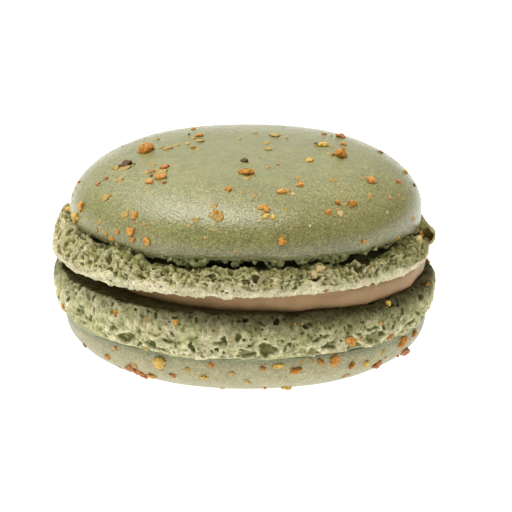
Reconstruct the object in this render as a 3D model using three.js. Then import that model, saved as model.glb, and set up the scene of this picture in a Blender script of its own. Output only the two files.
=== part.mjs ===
// A French macaron: two domed meringue shells, each baked with a ruffled foot round its flat side,
// and a disc of filling between the two flat sides. The lower shell rests upside down on its crown.
// Millimetres, +Z up. The origin is the middle of the footprint, on the surface under the crown.

import * as THREE from "three";

// Driving dimensions of the whole.
const LOWER_FACE_HEIGHT = 12.3; // the lower shell's flat side above the table, on the axis
const UPPER_FACE_HEIGHT = 14.0; // the upper shell's flat side above the table
const LOWER_FACE_LEAN = THREE.MathUtils.degToRad(1.0); // the lower flat side falls away towards +X
const CLEARANCE = 0.3; // between the filling and each flat side

// Facets round each piece, and along the parts of a shell's outline.
const SIDES = 96;
const DOME_ROWS = 9;
const SKIRT_ROWS = 2;
const FOOT_ROWS = 4; // from the seam to the belly, and again from the belly to the rim
const FILLING_ROWS = 4;

// A shell's sizes, with heights measured from its flat side towards its crown.
const UPPER_SHELL = {
  height: 13.4,
  domeRadius: 20.9,
  domeWidestHeight: 5.2,
  crownPower: 2.7,
  shoulderPower: 1.86,
  skirtHeight: 4.3,
  skirtTuck: 0.35,
  crackRadius: 19.2,
  crackHeight: 3.75,
  footRadius: 22.75,
  footHeight: 3.9,
  bellyHeight: 1.5,
  rimInset: 0.6,
  seamInset: 1.7,
  rufflePhase: 0.0,
};
const LOWER_SHELL = {
  height: 12.55,
  domeRadius: 21.5,
  domeWidestHeight: 5.5,
  crownPower: 2.3,
  shoulderPower: 2.35,
  skirtHeight: 5.1,
  skirtTuck: 0.2,
  crackRadius: 20.6,
  crackHeight: 4.95,
  footRadius: 22.75,
  footHeight: 5.0,
  bellyHeight: 2.6,
  rimInset: 1.15,
  seamInset: 1.2,
  rufflePhase: 2.1,
};

// 1 makes the foot's ovals true ellipses, and less makes them squarer.
const FOOT_ROUNDNESS = 0.8;

// The filling's outline, a little off centre, as it was squeezed out more on one side.
const FILLING_RADIUS = 21.2;
const FILLING_OFFSET = 0.8;
const FILLING_BULGE = 0.45;

// Ruffles of the foot: waves round the rim, each with its count, depth, turn and lean up the foot.
const RUFFLES = [
  { count: 2, depth: 0.1, turn: 0.4, lean: 0.0 },
  { count: 5, depth: 0.11, turn: 1.9, lean: 0.2 },
  { count: 9, depth: 0.14, turn: 4.4, lean: 0.5 },
  { count: 13, depth: 0.16, turn: 2.7, lean: -0.7 },
  { count: 18, depth: 0.14, turn: 5.6, lean: 0.9 },
];

// One blister of foam that stands out of the upper foot on its +X side.
const BLISTER = { bearing: 0.03, height: 2.2, reach: 0.65, halfWidth: 0.09, halfHeight: 1.4 };

// From the crown to the widest ring: a superellipse, flat on top and rounder at the shoulder.
function domeOutline(shell) {
  const { height, domeRadius, domeWidestHeight, crownPower, shoulderPower } = shell;
  const points = [];
  for (let row = 0; row <= DOME_ROWS; row++) {
    const share = Math.sin((row / DOME_ROWS) * (Math.PI / 2));
    const fall = Math.pow(Math.max(0, 1 - Math.pow(share, crownPower)), 1 / shoulderPower);
    points.push(
      new THREE.Vector2(domeRadius * share, domeWidestHeight + (height - domeWidestHeight) * fall),
    );
  }
  return points;
}

// From the widest ring down to the skirt's edge, a quarter ellipse, and in to the crack above the foot.
function skirtOutline(shell) {
  const { domeRadius, domeWidestHeight, skirtHeight, skirtTuck, crackRadius, crackHeight } = shell;
  const points = [];
  for (let row = 1; row <= SKIRT_ROWS; row++) {
    const angle = (row / SKIRT_ROWS) * (Math.PI / 2);
    points.push(
      new THREE.Vector2(
        domeRadius - skirtTuck * (1 - Math.cos(angle)),
        domeWidestHeight - (domeWidestHeight - skirtHeight) * Math.sin(angle),
      ),
    );
  }
  points.push(new THREE.Vector2(crackRadius, crackHeight));
  return points;
}

// The foot's side: two quarter ovals, from the seam round to the belly and on to the rim of the flat side.
function footOutline(shell) {
  const { footRadius, footHeight, bellyHeight, rimInset, seamInset } = shell;
  const points = [];
  for (let row = -FOOT_ROWS; row <= FOOT_ROWS; row++) {
    const angle = (-row / FOOT_ROWS) * (Math.PI / 2);
    const inset = row < 0 ? seamInset : rimInset;
    const rise = row < 0 ? footHeight - bellyHeight : bellyHeight;
    const pull = 1 - Math.pow(Math.max(0, Math.cos(angle)), FOOT_ROUNDNESS);
    points.push(new THREE.Vector2(footRadius - inset * pull, bellyHeight + rise * Math.sin(angle)));
  }
  return points;
}

// How far the foot stands out at a bearing and a height, besides its outline.
function footRelief(shell, bearing, height) {
  const band = Math.sin(Math.PI * THREE.MathUtils.clamp(height / shell.footHeight, 0, 1));
  let relief = 0;
  for (const { count, depth, turn, lean } of RUFFLES) {
    relief += depth * Math.sin(count * bearing + turn + shell.rufflePhase + lean * height);
  }
  return relief * (0.35 + 0.65 * band);
}

function blisterRelief(bearing, height) {
  const across = Math.atan2(Math.sin(bearing - BLISTER.bearing), Math.cos(bearing - BLISTER.bearing));
  const sideways = across / BLISTER.halfWidth;
  const upwards = (height - BLISTER.height) / BLISTER.halfHeight;
  return BLISTER.reach * Math.exp(-sideways * sideways - upwards * upwards);
}

// Moves every point of a turned geometry: change(bearing, radius, height) gives its new radius and height.
function reshape(geometry, change) {
  const position = geometry.attributes.position;
  for (let i = 0; i < position.count; i++) {
    const [x, y, z] = [position.getX(i), position.getY(i), position.getZ(i)];
    const bearing = Math.atan2(y, x);
    const [radius, height] = change(bearing, Math.hypot(x, y), z);
    position.setXYZ(i, radius * Math.cos(bearing), radius * Math.sin(bearing), height);
  }
  return geometry;
}

// A shell with its flat side at height 0 and its crown up.
function shellGeometry(shell) {
  const outline = [
    ...domeOutline(shell),
    ...skirtOutline(shell),
    ...footOutline(shell),
    new THREE.Vector2(0, 0),
  ].reverse();
  outline.at(-1).x = 0;
  const geometry = new THREE.LatheGeometry(outline, SIDES).rotateX(Math.PI / 2);
  return reshape(geometry, (bearing, radius, height) => {
    const isFoot = height < shell.footHeight + 1e-3 && radius > shell.crackRadius + 0.1;
    const relief = isFoot ? footRelief(shell, bearing, height) : 0;
    return [radius + relief, height];
  });
}

function upperShell() {
  const geometry = reshape(shellGeometry(UPPER_SHELL), (bearing, radius, height) => {
    const isFoot = height > 0.1 && height < UPPER_SHELL.footHeight + 1e-3 && radius > 21;
    return [radius + (isFoot ? blisterRelief(bearing, height) : 0), height + UPPER_FACE_HEIGHT];
  });
  return named("upper_shell", geometry, { color: 0xb6b38b, roughness: 0.5, metalness: 0 });
}

// Upside down on its crown. Its flat side leans, and its crown is pressed flat on the table.
function lowerShell() {
  const geometry = reshape(
    shellGeometry(LOWER_SHELL).rotateX(Math.PI),
    (bearing, radius, depth) => {
      const height = LOWER_FACE_HEIGHT + depth;
      const share = THREE.MathUtils.clamp(height / LOWER_FACE_HEIGHT, 0, 1);
      const lean = share * radius * Math.cos(bearing) * Math.tan(LOWER_FACE_LEAN);
      return [radius, Math.max(0, height - lean)];
    },
  );
  return named("lower_shell", geometry, { color: 0xb2aa85, roughness: 0.55, metalness: 0 });
}

// A disc with a bulging edge, whose lower face leans with the lower shell's flat side.
function filling() {
  const top = UPPER_FACE_HEIGHT - CLEARANCE;
  const bottom = LOWER_FACE_HEIGHT + CLEARANCE;
  const outline = [new THREE.Vector2(0, bottom)];
  for (let row = 0; row <= FILLING_ROWS; row++) {
    const angle = -Math.PI / 2 + (row / FILLING_ROWS) * Math.PI;
    outline.push(
      new THREE.Vector2(
        FILLING_RADIUS + FILLING_BULGE * Math.cos(angle),
        (top + bottom) / 2 + ((top - bottom) / 2) * Math.sin(angle),
      ),
    );
  }
  outline.push(new THREE.Vector2(0, top));
  const geometry = new THREE.LatheGeometry(outline, SIDES).rotateX(Math.PI / 2);
  geometry.translate(FILLING_OFFSET, 0, 0);
  reshape(geometry, (bearing, radius, height) => {
    const share = (top - height) / (top - bottom);
    return [radius, height - share * radius * Math.cos(bearing) * Math.tan(LOWER_FACE_LEAN)];
  });
  return named("filling", geometry, { color: 0x9c7c5a, roughness: 0.55, metalness: 0 });
}

function named(name, geometry, finish) {
  const mesh = new THREE.Mesh(geometry, new THREE.MeshStandardMaterial(finish));
  mesh.name = name;
  return mesh;
}

// The pieces are centred on the middle of their footprint.
const pieces = new THREE.Group();
pieces.add(lowerShell(), filling(), upperShell());
const middle = new THREE.Box3().setFromObject(pieces, true).getCenter(new THREE.Vector3());
pieces.position.set(-middle.x, -middle.y, 0);

const macaron = new THREE.Group();
macaron.add(pieces);

export default macaron;
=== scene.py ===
import itertools
import math

import bpy
import numpy as np
from mathutils import Matrix, Vector
from mathutils.bvhtree import BVHTree


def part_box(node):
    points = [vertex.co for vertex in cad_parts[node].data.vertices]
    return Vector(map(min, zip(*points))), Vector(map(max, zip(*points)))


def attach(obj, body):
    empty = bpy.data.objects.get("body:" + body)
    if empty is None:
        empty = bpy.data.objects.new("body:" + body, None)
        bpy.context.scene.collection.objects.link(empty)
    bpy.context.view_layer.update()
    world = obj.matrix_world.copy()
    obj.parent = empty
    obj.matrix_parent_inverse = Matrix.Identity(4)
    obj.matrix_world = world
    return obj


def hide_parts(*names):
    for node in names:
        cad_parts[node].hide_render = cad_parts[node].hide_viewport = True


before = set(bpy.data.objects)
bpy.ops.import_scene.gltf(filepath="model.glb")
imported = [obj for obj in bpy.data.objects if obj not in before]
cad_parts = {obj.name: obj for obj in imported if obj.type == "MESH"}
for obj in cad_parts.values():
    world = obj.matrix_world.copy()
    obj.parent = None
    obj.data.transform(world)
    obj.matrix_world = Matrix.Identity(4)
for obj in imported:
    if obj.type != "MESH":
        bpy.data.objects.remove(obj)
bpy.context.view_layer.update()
MM = 0.001

# ---------------------------------------------------------------------------------------------
# The camera: a long lens that looks slightly down on the front of the macaron, which fills
# three quarters of the frame's width and lies a little left of the frame's middle.

IMAGE_SIDE = 512  # pixels
CAMERA_ELEVATION = math.radians(16.0)
CAMERA_DISTANCE = 0.420
SENSOR_WIDTH = 0.036
MACARON_WIDTH = 0.046
MACARON_PIXELS = 385  # as wide as the macaron is seen
PIXELS_PER_METRE = MACARON_PIXELS / MACARON_WIDTH
MIDDLE_HEIGHT = 0.013
AIM_RIGHT_OF_AXIS = 0.00119
AIM_ABOVE_MIDDLE = 0.00012

# The shells' common axis stands 0.8 mm beside the middle of the filling, which was squeezed out
# more on the right.
FILLING_OFFSET = 0.0008
filling_low, filling_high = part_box("filling")
AXIS_X = (filling_low.x + filling_high.x) / 2 - FILLING_OFFSET
AXIS_Y = (filling_low.y + filling_high.y) / 2

TOWARDS_CAMERA = Vector((0, -math.cos(CAMERA_ELEVATION), math.sin(CAMERA_ELEVATION)))
IMAGE_RIGHT = Vector((1, 0, 0))
IMAGE_UP = Vector((0, math.sin(CAMERA_ELEVATION), math.cos(CAMERA_ELEVATION)))
aim = Vector((AXIS_X, AXIS_Y, MIDDLE_HEIGHT)) + IMAGE_RIGHT * AIM_RIGHT_OF_AXIS + IMAGE_UP * AIM_ABOVE_MIDDLE
camera_place = aim + TOWARDS_CAMERA * CAMERA_DISTANCE

camera = bpy.data.objects.new("camera", bpy.data.cameras.new("camera"))
camera.data.sensor_width = SENSOR_WIDTH / MM
camera.data.lens = camera.data.sensor_width * CAMERA_DISTANCE * PIXELS_PER_METRE / IMAGE_SIDE
camera.data.clip_start = 0.01
camera.location = camera_place
camera.rotation_euler = TOWARDS_CAMERA.to_track_quat("Z", "Y").to_euler()
bpy.context.scene.collection.objects.link(camera)
bpy.context.scene.camera = camera
bpy.context.scene.view_settings.view_transform = "Standard"

# ---------------------------------------------------------------------------------------------
# The studio: a white table that glows, so that it shows hardly any shadow, a large softbox
# overhead on the left, a dimmer scrim and a wall of light behind, both cool, a card on either
# side, of which the right one is warm, and a low warm card in front on the left.

FLOOR_SIDE = 6.0
FLOOR_DROP = 0.00001
FLOOR_GLOW = 1.25
FLOOR_ALBEDO = 0.20
FLOOR_ROUGHNESS = 0.9
ROOM_GLOW = 0.20
COOL_SCRIM = (0.93, 1.0, 0.98)
COOL_WALL = (0.95, 1.0, 0.98)
WARM_CARD = (1.0, 0.95, 0.88)
WARMER_CARD = (1.0, 0.90, 0.62)


def area_light(name, place, along, width, depth, radiance, tint=(1.0, 1.0, 1.0)):
    """An oblong softbox at a place, facing the macaron, with its width along the given way. Its power is
    radiance times pi times its area."""
    light = bpy.data.lights.new(name, "AREA")
    light.shape = "RECTANGLE"
    light.size = width
    light.size_y = depth
    light.energy = radiance * math.pi * width * depth
    light.color = tint
    away = (Vector(place) - aim).normalized()
    across = (Vector(along) - away * away.dot(along)).normalized()
    holder = bpy.data.objects.new(name, light)
    holder.location = place
    holder.rotation_euler = Matrix((across, away.cross(across), away)).transposed().to_euler()
    bpy.context.scene.collection.objects.link(holder)


area_light(
    "softbox_overhead",
    place=(-0.150, -0.045, 0.60),
    along=(0.90, -0.44, 0),
    width=0.66,
    depth=0.28,
    radiance=8.0,
)
area_light(
    "scrim_behind",
    place=(-0.14, 0.50, 0.60),
    along=(1, 0, 0),
    width=1.00,
    depth=0.56,
    radiance=1.2,
    tint=COOL_SCRIM,
)
area_light(
    "wall_behind",
    place=(-0.10, 0.95, 0.22),
    along=(1, 0, 0),
    width=1.4,
    depth=0.5,
    radiance=0.5,
    tint=COOL_WALL,
)
area_light(
    "card_left",
    place=(-0.75, 0.0, 0.45),
    along=(0, 1, 0),
    width=0.5,
    depth=0.6,
    radiance=1.0,
)
area_light(
    "card_low",
    place=(-0.22, -0.12, 0.035),
    along=(0.5, -0.9, 0),
    width=0.20,
    depth=0.05,
    radiance=1.6,
    tint=WARM_CARD,
)
area_light(
    "card_right",
    place=(0.50, 0.22, 0.66),
    along=(0, 1, 0),
    width=0.9,
    depth=0.6,
    radiance=1.0,
    tint=WARMER_CARD,
)

room = bpy.data.worlds.new("room")
room.use_nodes = True
room.node_tree.nodes["Background"].inputs["Color"].default_value = (1, 1, 1, 1)
room.node_tree.nodes["Background"].inputs["Strength"].default_value = ROOM_GLOW
bpy.context.scene.world = room

floor_mesh = bpy.data.meshes.new("floor")
floor_corners = np.array([(-1, -1), (1, -1), (1, 1), (-1, 1)]) * FLOOR_SIDE / 2
floor_mesh.from_pydata([(x, y, -FLOOR_DROP) for x, y in floor_corners.tolist()], [], [(0, 1, 2, 3)])
floor = bpy.data.objects.new("floor", floor_mesh)
bpy.context.scene.collection.objects.link(floor)

table_white = bpy.data.materials.new("table_white")
table_white.use_nodes = True
table_shader = table_white.node_tree.nodes["Principled BSDF"]
table_shader.inputs["Base Color"].default_value = (FLOOR_ALBEDO, FLOOR_ALBEDO, FLOOR_ALBEDO, 1)
table_shader.inputs["Roughness"].default_value = FLOOR_ROUGHNESS
table_shader.inputs["Specular IOR Level"].default_value = 0.0
table_shader.inputs["Emission Color"].default_value = (1, 1, 1, 1)
table_shader.inputs["Emission Strength"].default_value = FLOOR_GLOW
floor_mesh.materials.append(table_white)

# ---------------------------------------------------------------------------------------------
# The lower dome: the smooth skin of the lower meringue shell, almond batter that dried on the
# tray before it rose. It lies upside down, with its crown pressed flat on the table.

# From here on lengths are in millimetres and the shells' axis is at x = 0, y = 0. A shell is
# made with its flat side at height 0 and its crown up, and then set in its place.
LOWER_FACE_HEIGHT = 12.3
LOWER_FACE_LEAN = math.radians(1.0)  # the lower shell's flat side falls away towards +X
LOWER_DOME = {
    "radius": 21.5,
    "widest": 5.5,  # the height of its widest ring
    "crown": 12.55,
    "crown_power": 2.3,
    "shoulder_power": 2.35,
}
LOWER_SKIRT = {
    "edge": 5.0,  # the height of its lower edge
    "tuck": 0.25,
    "lip": 0.15,
    "lean": math.radians(0.2),
    "ragged": 0.4,
    "dips": [],
    # Thin lines round it: height above its edge, rise at the front, half width and darkness, which sets its
    # painted shade and the depth of its groove.
    "creases": [(0.15, 0.8, 0.10, 1.0), (0.75, 0.6, 0.06, 0.3)],
}
DOME_RINGS = {"dome": 126, "skirt": 9, "lip": 8, "under": 5}
UNDERSIDE_REACH = 1.3  # how far the skirt's underside runs inwards
UNDERSIDE_RISE = 0.7  # and how far it rises on its way

# Unevenness of both domes. Each wave has a height and a size.
SKIN_WAVES = [(0.13, 13.0), (0.035, 3.5), (0.012, 1.1), (0.006, 0.45)]
EDGE_WAVES = [(0.16, 6.0), (0.10, 1.7), (0.07, 0.55)]
SKIN_PITS = {"cell": 1.9, "smallest": 0.05, "largest": 0.16, "share": 0.3}
PIT_DEPTH = 0.6
# The pits' darker colour is painted shade, in full at this depth.
PIT_SHADE_DEPTH = 0.1  # as deep as a pit is fully dark
CREASE_DEPTH = 0.05
CREASE_WANDER = (0.10, 6.0)  # height and size of a crease's waves
CREASE_BREAKS = 8.0  # size of the noise that breaks a crease off
CREASE_WHOLE = (-0.6, 0.1)  # the value of that noise up to which it is gone, and from which it is whole
RAGGED_FROM = 0.9  # above the widest ring
SIDE_FROM = (0.6, 2.2)  # below the crown, where the side begins and is whole
EYE_BELOW_WIDEST = 2.5  # the point from which the normals spread
NORMAL_STEEPNESS = 1.6

HASH_FACTORS = (0x9E3779B97F4A7C15, 0xC2B2AE3D27D4EB4F, 0x165667B19E3779F9)
HASH_FOLD = 0xD6E8FEB86659FD93


def hashed(cubes, seed):
    """A fixed random number from 0 to 1 for each whole-numbered cube. Its three numbers and the seed
    are multiplied by large odd numbers and added, and the bits are folded over each other twice."""
    whole = cubes.astype(np.int64).astype(np.uint64)
    bits = sum(whole[..., axis] * np.uint64(factor) for axis, factor in enumerate(HASH_FACTORS))
    bits = bits + np.uint64(seed * 7919 + 17)
    for _ in range(2):
        bits = (bits ^ (bits >> np.uint64(31))) * np.uint64(HASH_FOLD)
    return (bits >> np.uint64(40)).astype(float) / 2**24


def soft_noise(points, size, seed):
    """Smooth noise from -1 to 1: the random numbers of the eight corners of each cube of that size,
    blended along each axis by the smooth step 6t^5 - 15t^4 + 10t^3."""
    place = points / size
    corner = np.floor(place)
    part = place - corner
    step = part**3 * (part * (part * 6 - 15) + 10)
    total = np.zeros(points.shape[:-1])
    for far in itertools.product((0, 1), repeat=3):
        weight = np.prod(np.where(far, step, 1 - step), axis=-1)
        total += weight * hashed(corner + far, seed)
    return 2 * total - 1


def rough_noise(points, size, layers, seed):
    """A sum of layers of smooth noise, each half as large and 0.55 times as high as the one before."""
    total = np.zeros(points.shape[:-1])
    for layer in range(layers):
        total += 0.55**layer * soft_noise(points, size / 2**layer, seed + 31 * layer)
    return total


def layered_noise(points, waves, seed):
    """A sum of smooth noises, one for each wave's height and size."""
    return sum(high * soft_noise(points, size, seed + layer) for layer, (high, size) in enumerate(waves))


def billows(points, size, layers, seed):
    """Round lumps with sharp creases between them: a sum of layers of smooth noise without its sign, each
    half as large and 0.6 times as high as the one before, and each less its middle."""
    total = np.zeros(points.shape[:-1])
    for layer in range(layers):
        total += 0.6**layer * (2 * np.abs(soft_noise(points, size / 2**layer, seed + 31 * layer)) - 0.5)
    return total


def random_centre(cube, cell, seed):
    """A point anywhere in each whole-numbered cube, where a cube has the side of a cell."""
    return (cube + np.stack([hashed(cube, seed + axis) for axis in range(3)], -1)) * cell


def way_out(points, heading, cell, smallest, largest, share, seed, room=1.0):
    """How far each point has to go along its heading to leave every ball that it lies in. Space is cut
    into cubes, a share of which holds one ball. Its radius r is the smallest plus the rest times the square
    of a random number, and all of that times the room. With o the offset from its centre and a its part
    along the heading, the way out is the root of (a^2 + r^2 - o^2), less a."""
    home = np.floor(points / cell)
    way = np.zeros(points.shape[:-1])
    for step in itertools.product((-1, 0, 1), repeat=3):
        cube = home + step
        radius = (smallest + (largest - smallest) * hashed(cube, seed + 3) ** 2) * room
        offset = points - random_centre(cube, cell, seed)
        inside = radius**2 - np.sum(offset**2, axis=-1)
        along = np.sum(offset * heading, axis=-1)
        reach = np.sqrt(np.maximum(along**2 + inside, 0)) - along
        held = (inside > 0) & (hashed(cube, seed + 4) < share)
        way = np.maximum(way, np.where(held, reach, 0))
    return way


def smooth_between(low, high, value):
    """0 up to low, 1 from high on, and the smooth step 3t^2 - 2t^3 between them. It falls where low is the
    larger of the two."""
    part = np.clip((value - low) / (high - low), 0, 1)
    return part * part * (3 - 2 * part)


def bell(*offsets):
    """A bell curve: e to the power of minus the sum of the squares of offsets, each in its half widths."""
    return np.exp(-sum(offset**2 for offset in offsets))


def square_disc(rings):
    """Spreads a square grid over a disc. A point (a, b) of the square goes to the signed radius a and the
    bearing (pi/4)(b/a) where |a| is the larger, and to the radius b and the bearing pi/2 - (pi/4)(a/b)
    elsewhere, so each square ring becomes a circle of even steps. Returns ring share, bearing and faces."""
    side = np.arange(-rings, rings + 1) / rings
    a, b = [grid.ravel() for grid in np.meshgrid(side, side, indexing="ij")]
    wide = np.abs(a) > np.abs(b)
    radius = np.where(wide, a, b)
    share_b = b / np.where(a == 0, 1, a)
    share_a = a / np.where(b == 0, 1, b)
    turn = np.where(wide, math.pi / 4 * share_b, math.pi / 2 - math.pi / 4 * share_a)
    bearing = np.arctan2(radius * np.sin(turn), radius * np.cos(turn))
    index = np.arange((2 * rings + 1) ** 2).reshape(2 * rings + 1, 2 * rings + 1)
    quads = np.stack([index[:-1, :-1], index[1:, :-1], index[1:, 1:], index[:-1, 1:]], -1).reshape(-1, 4)
    return np.abs(radius), bearing, quads


def dome_outline(share, dome, skirt):
    """The outline of a dome, as radius and height at a share from 0 at the crown to 1 under the skirt.
    The dome is the superellipse height = widest + rise (1 - (r/R)^p)^(1/q), with r = R sin(angle). The
    skirt is a quarter ellipse down to its edge, the lip a half circle, and the underside runs inwards."""
    ring = share * sum(DOME_RINGS.values())
    last_dome = DOME_RINGS["dome"]
    last_skirt = last_dome + DOME_RINGS["skirt"]
    last_lip = last_skirt + DOME_RINGS["lip"]
    radius = dome["radius"] * np.sin(np.clip(ring / last_dome, 0, 1) * math.pi / 2)
    fall = np.clip(1 - (radius / dome["radius"]) ** dome["crown_power"], 0, 1) ** (1 / dome["shoulder_power"])
    height = dome["widest"] + (dome["crown"] - dome["widest"]) * fall
    skirt_turn = np.clip((ring - last_dome) / DOME_RINGS["skirt"], 0, 1) * math.pi / 2
    radius = radius - skirt["tuck"] * (1 - np.cos(skirt_turn))
    height = height - (dome["widest"] - skirt["edge"]) * np.sin(skirt_turn)
    lip_turn = np.clip((ring - last_skirt) / DOME_RINGS["lip"], 0, 1) * math.pi
    radius = radius - skirt["lip"] * (1 - np.cos(lip_turn))
    height = height - skirt["lip"] * np.sin(lip_turn)
    under = np.clip((ring - last_lip) / DOME_RINGS["under"], 0, 1)
    return radius - UNDERSIDE_REACH * under, height + UNDERSIDE_RISE * under


def turn_from(bearing, middle):
    """The turn in degrees from a bearing of the middle, in degrees, to each bearing, from -180 to 180."""
    return (np.degrees(bearing) - middle + 180) % 360 - 180


def around(bearing, middle, half):
    """A bell curve of the turn from the middle, with its half width, both in degrees."""
    return bell(turn_from(bearing, middle) / half)


def turned(radius, bearing, height):
    """Points of a turned surface from radius, bearing and height."""
    return np.stack([radius * np.cos(bearing), radius * np.sin(bearing), height + 0 * bearing], -1)


def skirt_drop(skirt, bearing, across):
    """How far the skirt's edge hangs lower at each bearing: the lean's tangent times the place across, plus
    a bell curve of the turn from the middle of each dip."""
    sag = sum(depth * around(bearing, middle, half) for middle, half, depth in skirt["dips"])
    return math.tan(skirt["lean"]) * across + sag


def skirt_creases(points, bearing, height, skirt, seed):
    """Thin lines round the skirt, from 0 to 1: for each, a bell curve of the height above or below the line,
    which rises towards the front by its rise times the cube of the sine, and breaks off here and there."""
    lines = 0 * height
    for number, (above, rise, half, darkness) in enumerate(skirt["creases"]):
        line = skirt["edge"] + above + rise * np.maximum(0, -np.sin(bearing)) ** 3
        line = line + layered_noise(points, [CREASE_WANDER], seed + 2 * number)
        whole = smooth_between(*CREASE_WHOLE, soft_noise(points, CREASE_BREAKS, seed + 2 * number + 1))
        lines = np.maximum(lines, darkness * whole * bell((height - line) / half))
    return lines


def dome_surface(dome, skirt, seed):
    """A dome with its unevenness: slow and fine waves and small pits along the normal, creases round the
    skirt, and a ragged lower edge that leans and dips. The normal is taken as the one of an ellipsoid
    round a point on the axis. Returns the points, the faces, and the fields pit, skirt, crease and side,
    which is 0 round the crown and 1 below it."""
    share, bearing, quads = square_disc(sum(DOME_RINGS.values()))
    radius, height = dome_outline(share, dome, skirt)
    points = turned(radius, bearing, height)
    outward = (points - (0, 0, dome["widest"] - EYE_BELOW_WIDEST)) * (1, 1, NORMAL_STEEPNESS)
    outward /= np.linalg.norm(outward, axis=-1, keepdims=True)
    waves = layered_noise(points, SKIN_WAVES, seed)
    pits = way_out(points, -outward, **SKIN_PITS, seed=seed + 4)
    crease = skirt_creases(points, bearing, height, skirt, seed + 20)
    edge = smooth_between(dome["widest"] + RAGGED_FROM, skirt["edge"], height)
    ragged = layered_noise(points, EDGE_WAVES, seed + 12)
    points = points + outward * (waves - PIT_DEPTH * pits - CREASE_DEPTH * crease)[:, None]
    points[:, 2] += edge * (skirt["ragged"] * ragged - skirt_drop(skirt, bearing, points[:, 0]))
    side = smooth_between(dome["crown"] - SIDE_FROM[0], dome["crown"] - SIDE_FROM[1], height)
    pit = np.clip(pits / PIT_SHADE_DEPTH, 0, 1)
    return points, quads, {"pit": pit, "skirt": edge, "crease": crease, "side": side}


def mesh_piece(name, points, quads, triangles, fields):
    """A smooth mesh object from points in millimetres round the shells' axis, its faces, and its fields,
    which are numbers from 0 to 1 at each point that the material reads by name."""
    mesh = bpy.data.meshes.new(name)
    placed = points * MM + np.array([AXIS_X, AXIS_Y, 0])
    mesh.vertices.add(len(placed))
    mesh.vertices.foreach_set("co", placed.astype(np.float32).ravel())
    corners = np.concatenate([quads.ravel(), triangles.ravel()]).astype(np.int32)
    sizes = np.repeat([4, 3], [len(quads), len(triangles)])
    mesh.loops.add(len(corners))
    mesh.loops.foreach_set("vertex_index", corners)
    mesh.polygons.add(len(sizes))
    starts = np.concatenate([[0], np.cumsum(sizes)[:-1]])
    mesh.polygons.foreach_set("loop_start", starts.astype(np.int32))
    mesh.polygons.foreach_set("use_smooth", np.ones(len(sizes), bool))
    for field, values in fields.items():
        mesh.attributes.new(field, "FLOAT", "POINT").data.foreach_set("value", values.astype(np.float32))
    mesh.update()
    mesh.validate()
    piece = bpy.data.objects.new(name, mesh)
    bpy.context.scene.collection.objects.link(piece)
    return piece


def closing_fan(rim, pole):
    """Triangles from each step of a rim of point numbers to one pole."""
    return np.stack([rim, np.roll(rim, -1), np.full(len(rim), pole)], -1)


def dome_piece(name, points, quads, fields, place):
    """Closes a dome with a fan from its last ring to a pole on the axis, and sets it in its place."""
    side = 2 * sum(DOME_RINGS.values()) + 1
    index = np.arange(side * side).reshape(side, side)
    rim = np.concatenate([index[0, :-1], index[:-1, -1], index[-1, :0:-1], index[:0:-1, 0]])
    points = np.concatenate([points, [[0, 0, points[rim, 2].mean()]]])
    fields = {field: np.append(values, 0) for field, values in fields.items()}
    return mesh_piece(name, place(points), quads, closing_fan(rim, len(points) - 1), fields)


def set_lower(points):
    """Turns a shell upside down about the X axis and sets its flat side at its height. Heights fall with
    the lean's tangent times x, in full on the flat side and not at all on the table, where the crown is
    pressed flat."""
    x, y, height = points[:, 0], -points[:, 1], LOWER_FACE_HEIGHT - points[:, 2]
    lean = np.clip(height / LOWER_FACE_HEIGHT, 0, 1) * x * math.tan(LOWER_FACE_LEAN)
    return np.stack([x, y, np.maximum(0, height - lean)], -1)


def add_node(tree, kind, values, **settings):
    """Adds a shader node. Each value is a socket, which is linked to the input of that name or number, or
    a constant, which is set on it."""
    new = tree.nodes.new(kind)
    for setting, choice in settings.items():
        setattr(new, setting, choice)
    for name, value in values.items():
        if isinstance(value, bpy.types.NodeSocket):
            tree.links.new(value, new.inputs[name])
        else:
            new.inputs[name].default_value = value
    return new


def mixed(tree, share, first, second, blend="MIX"):
    """A colour mixed from two, or the first changed by the second as far as the share says."""
    # Inputs 0, 6 and 7 of a Mix node are its factor and its two colours, and output 2 is the mixed colour.
    values = {0: share, 6: first, 7: second}
    return add_node(tree, "ShaderNodeMix", values, data_type="RGBA", blend_type=blend).outputs[2]


def maths(tree, what, first, second=0.0, held=True):
    """The result of a Math node, held between 0 and 1 or, where held is off, as it comes out."""
    return add_node(tree, "ShaderNodeMath", {0: first, 1: second}, operation=what, use_clamp=held).outputs[0]


def times(tree, first, factor):
    """A socket's value times a factor, held between 0 and 1."""
    return maths(tree, "MULTIPLY", first, factor)


def new_group(name, inputs, output):
    """A shader node group with a vector input called Place, inputs with their usual values, and one
    output. Returns the group, its inputs by name and the socket that its output is linked to."""
    group = bpy.data.node_groups.new(name, "ShaderNodeTree")
    group.interface.new_socket("Place", in_out="INPUT", socket_type="NodeSocketVector")
    for label, usual in inputs.items():
        socket = group.interface.new_socket(label, in_out="INPUT", socket_type="NodeSocketFloat")
        socket.default_value = usual
    group.interface.new_socket(output, in_out="OUTPUT", socket_type="NodeSocketFloat")
    given = group.nodes.new("NodeGroupInput").outputs
    return group, given, group.nodes.new("NodeGroupOutput").inputs[output]


def use_group(tree, group, place, **values):
    """Places a group in a material with its own values and returns its output."""
    new = tree.nodes.new("ShaderNodeGroup")
    new.node_tree = group
    tree.links.new(place, new.inputs["Place"])
    for name, value in values.items():
        new.inputs[name].default_value = value
    return new.outputs[0]


def per_metre(group, size):
    """How many lengths of a size in millimetres a metre holds, which is the scale of a texture."""
    return maths(group, "DIVIDE", 1 / MM, size, held=False)


def noise_texture(group, given, detail, roughness):
    """The value of a noise texture of the given place and size."""
    values = {"Vector": given["Place"], "Scale": per_metre(group, given["Size"])}
    values.update({"Detail": detail, "Roughness": roughness})
    return add_node(group, "ShaderNodeTexNoise", values).outputs["Fac"]


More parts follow.
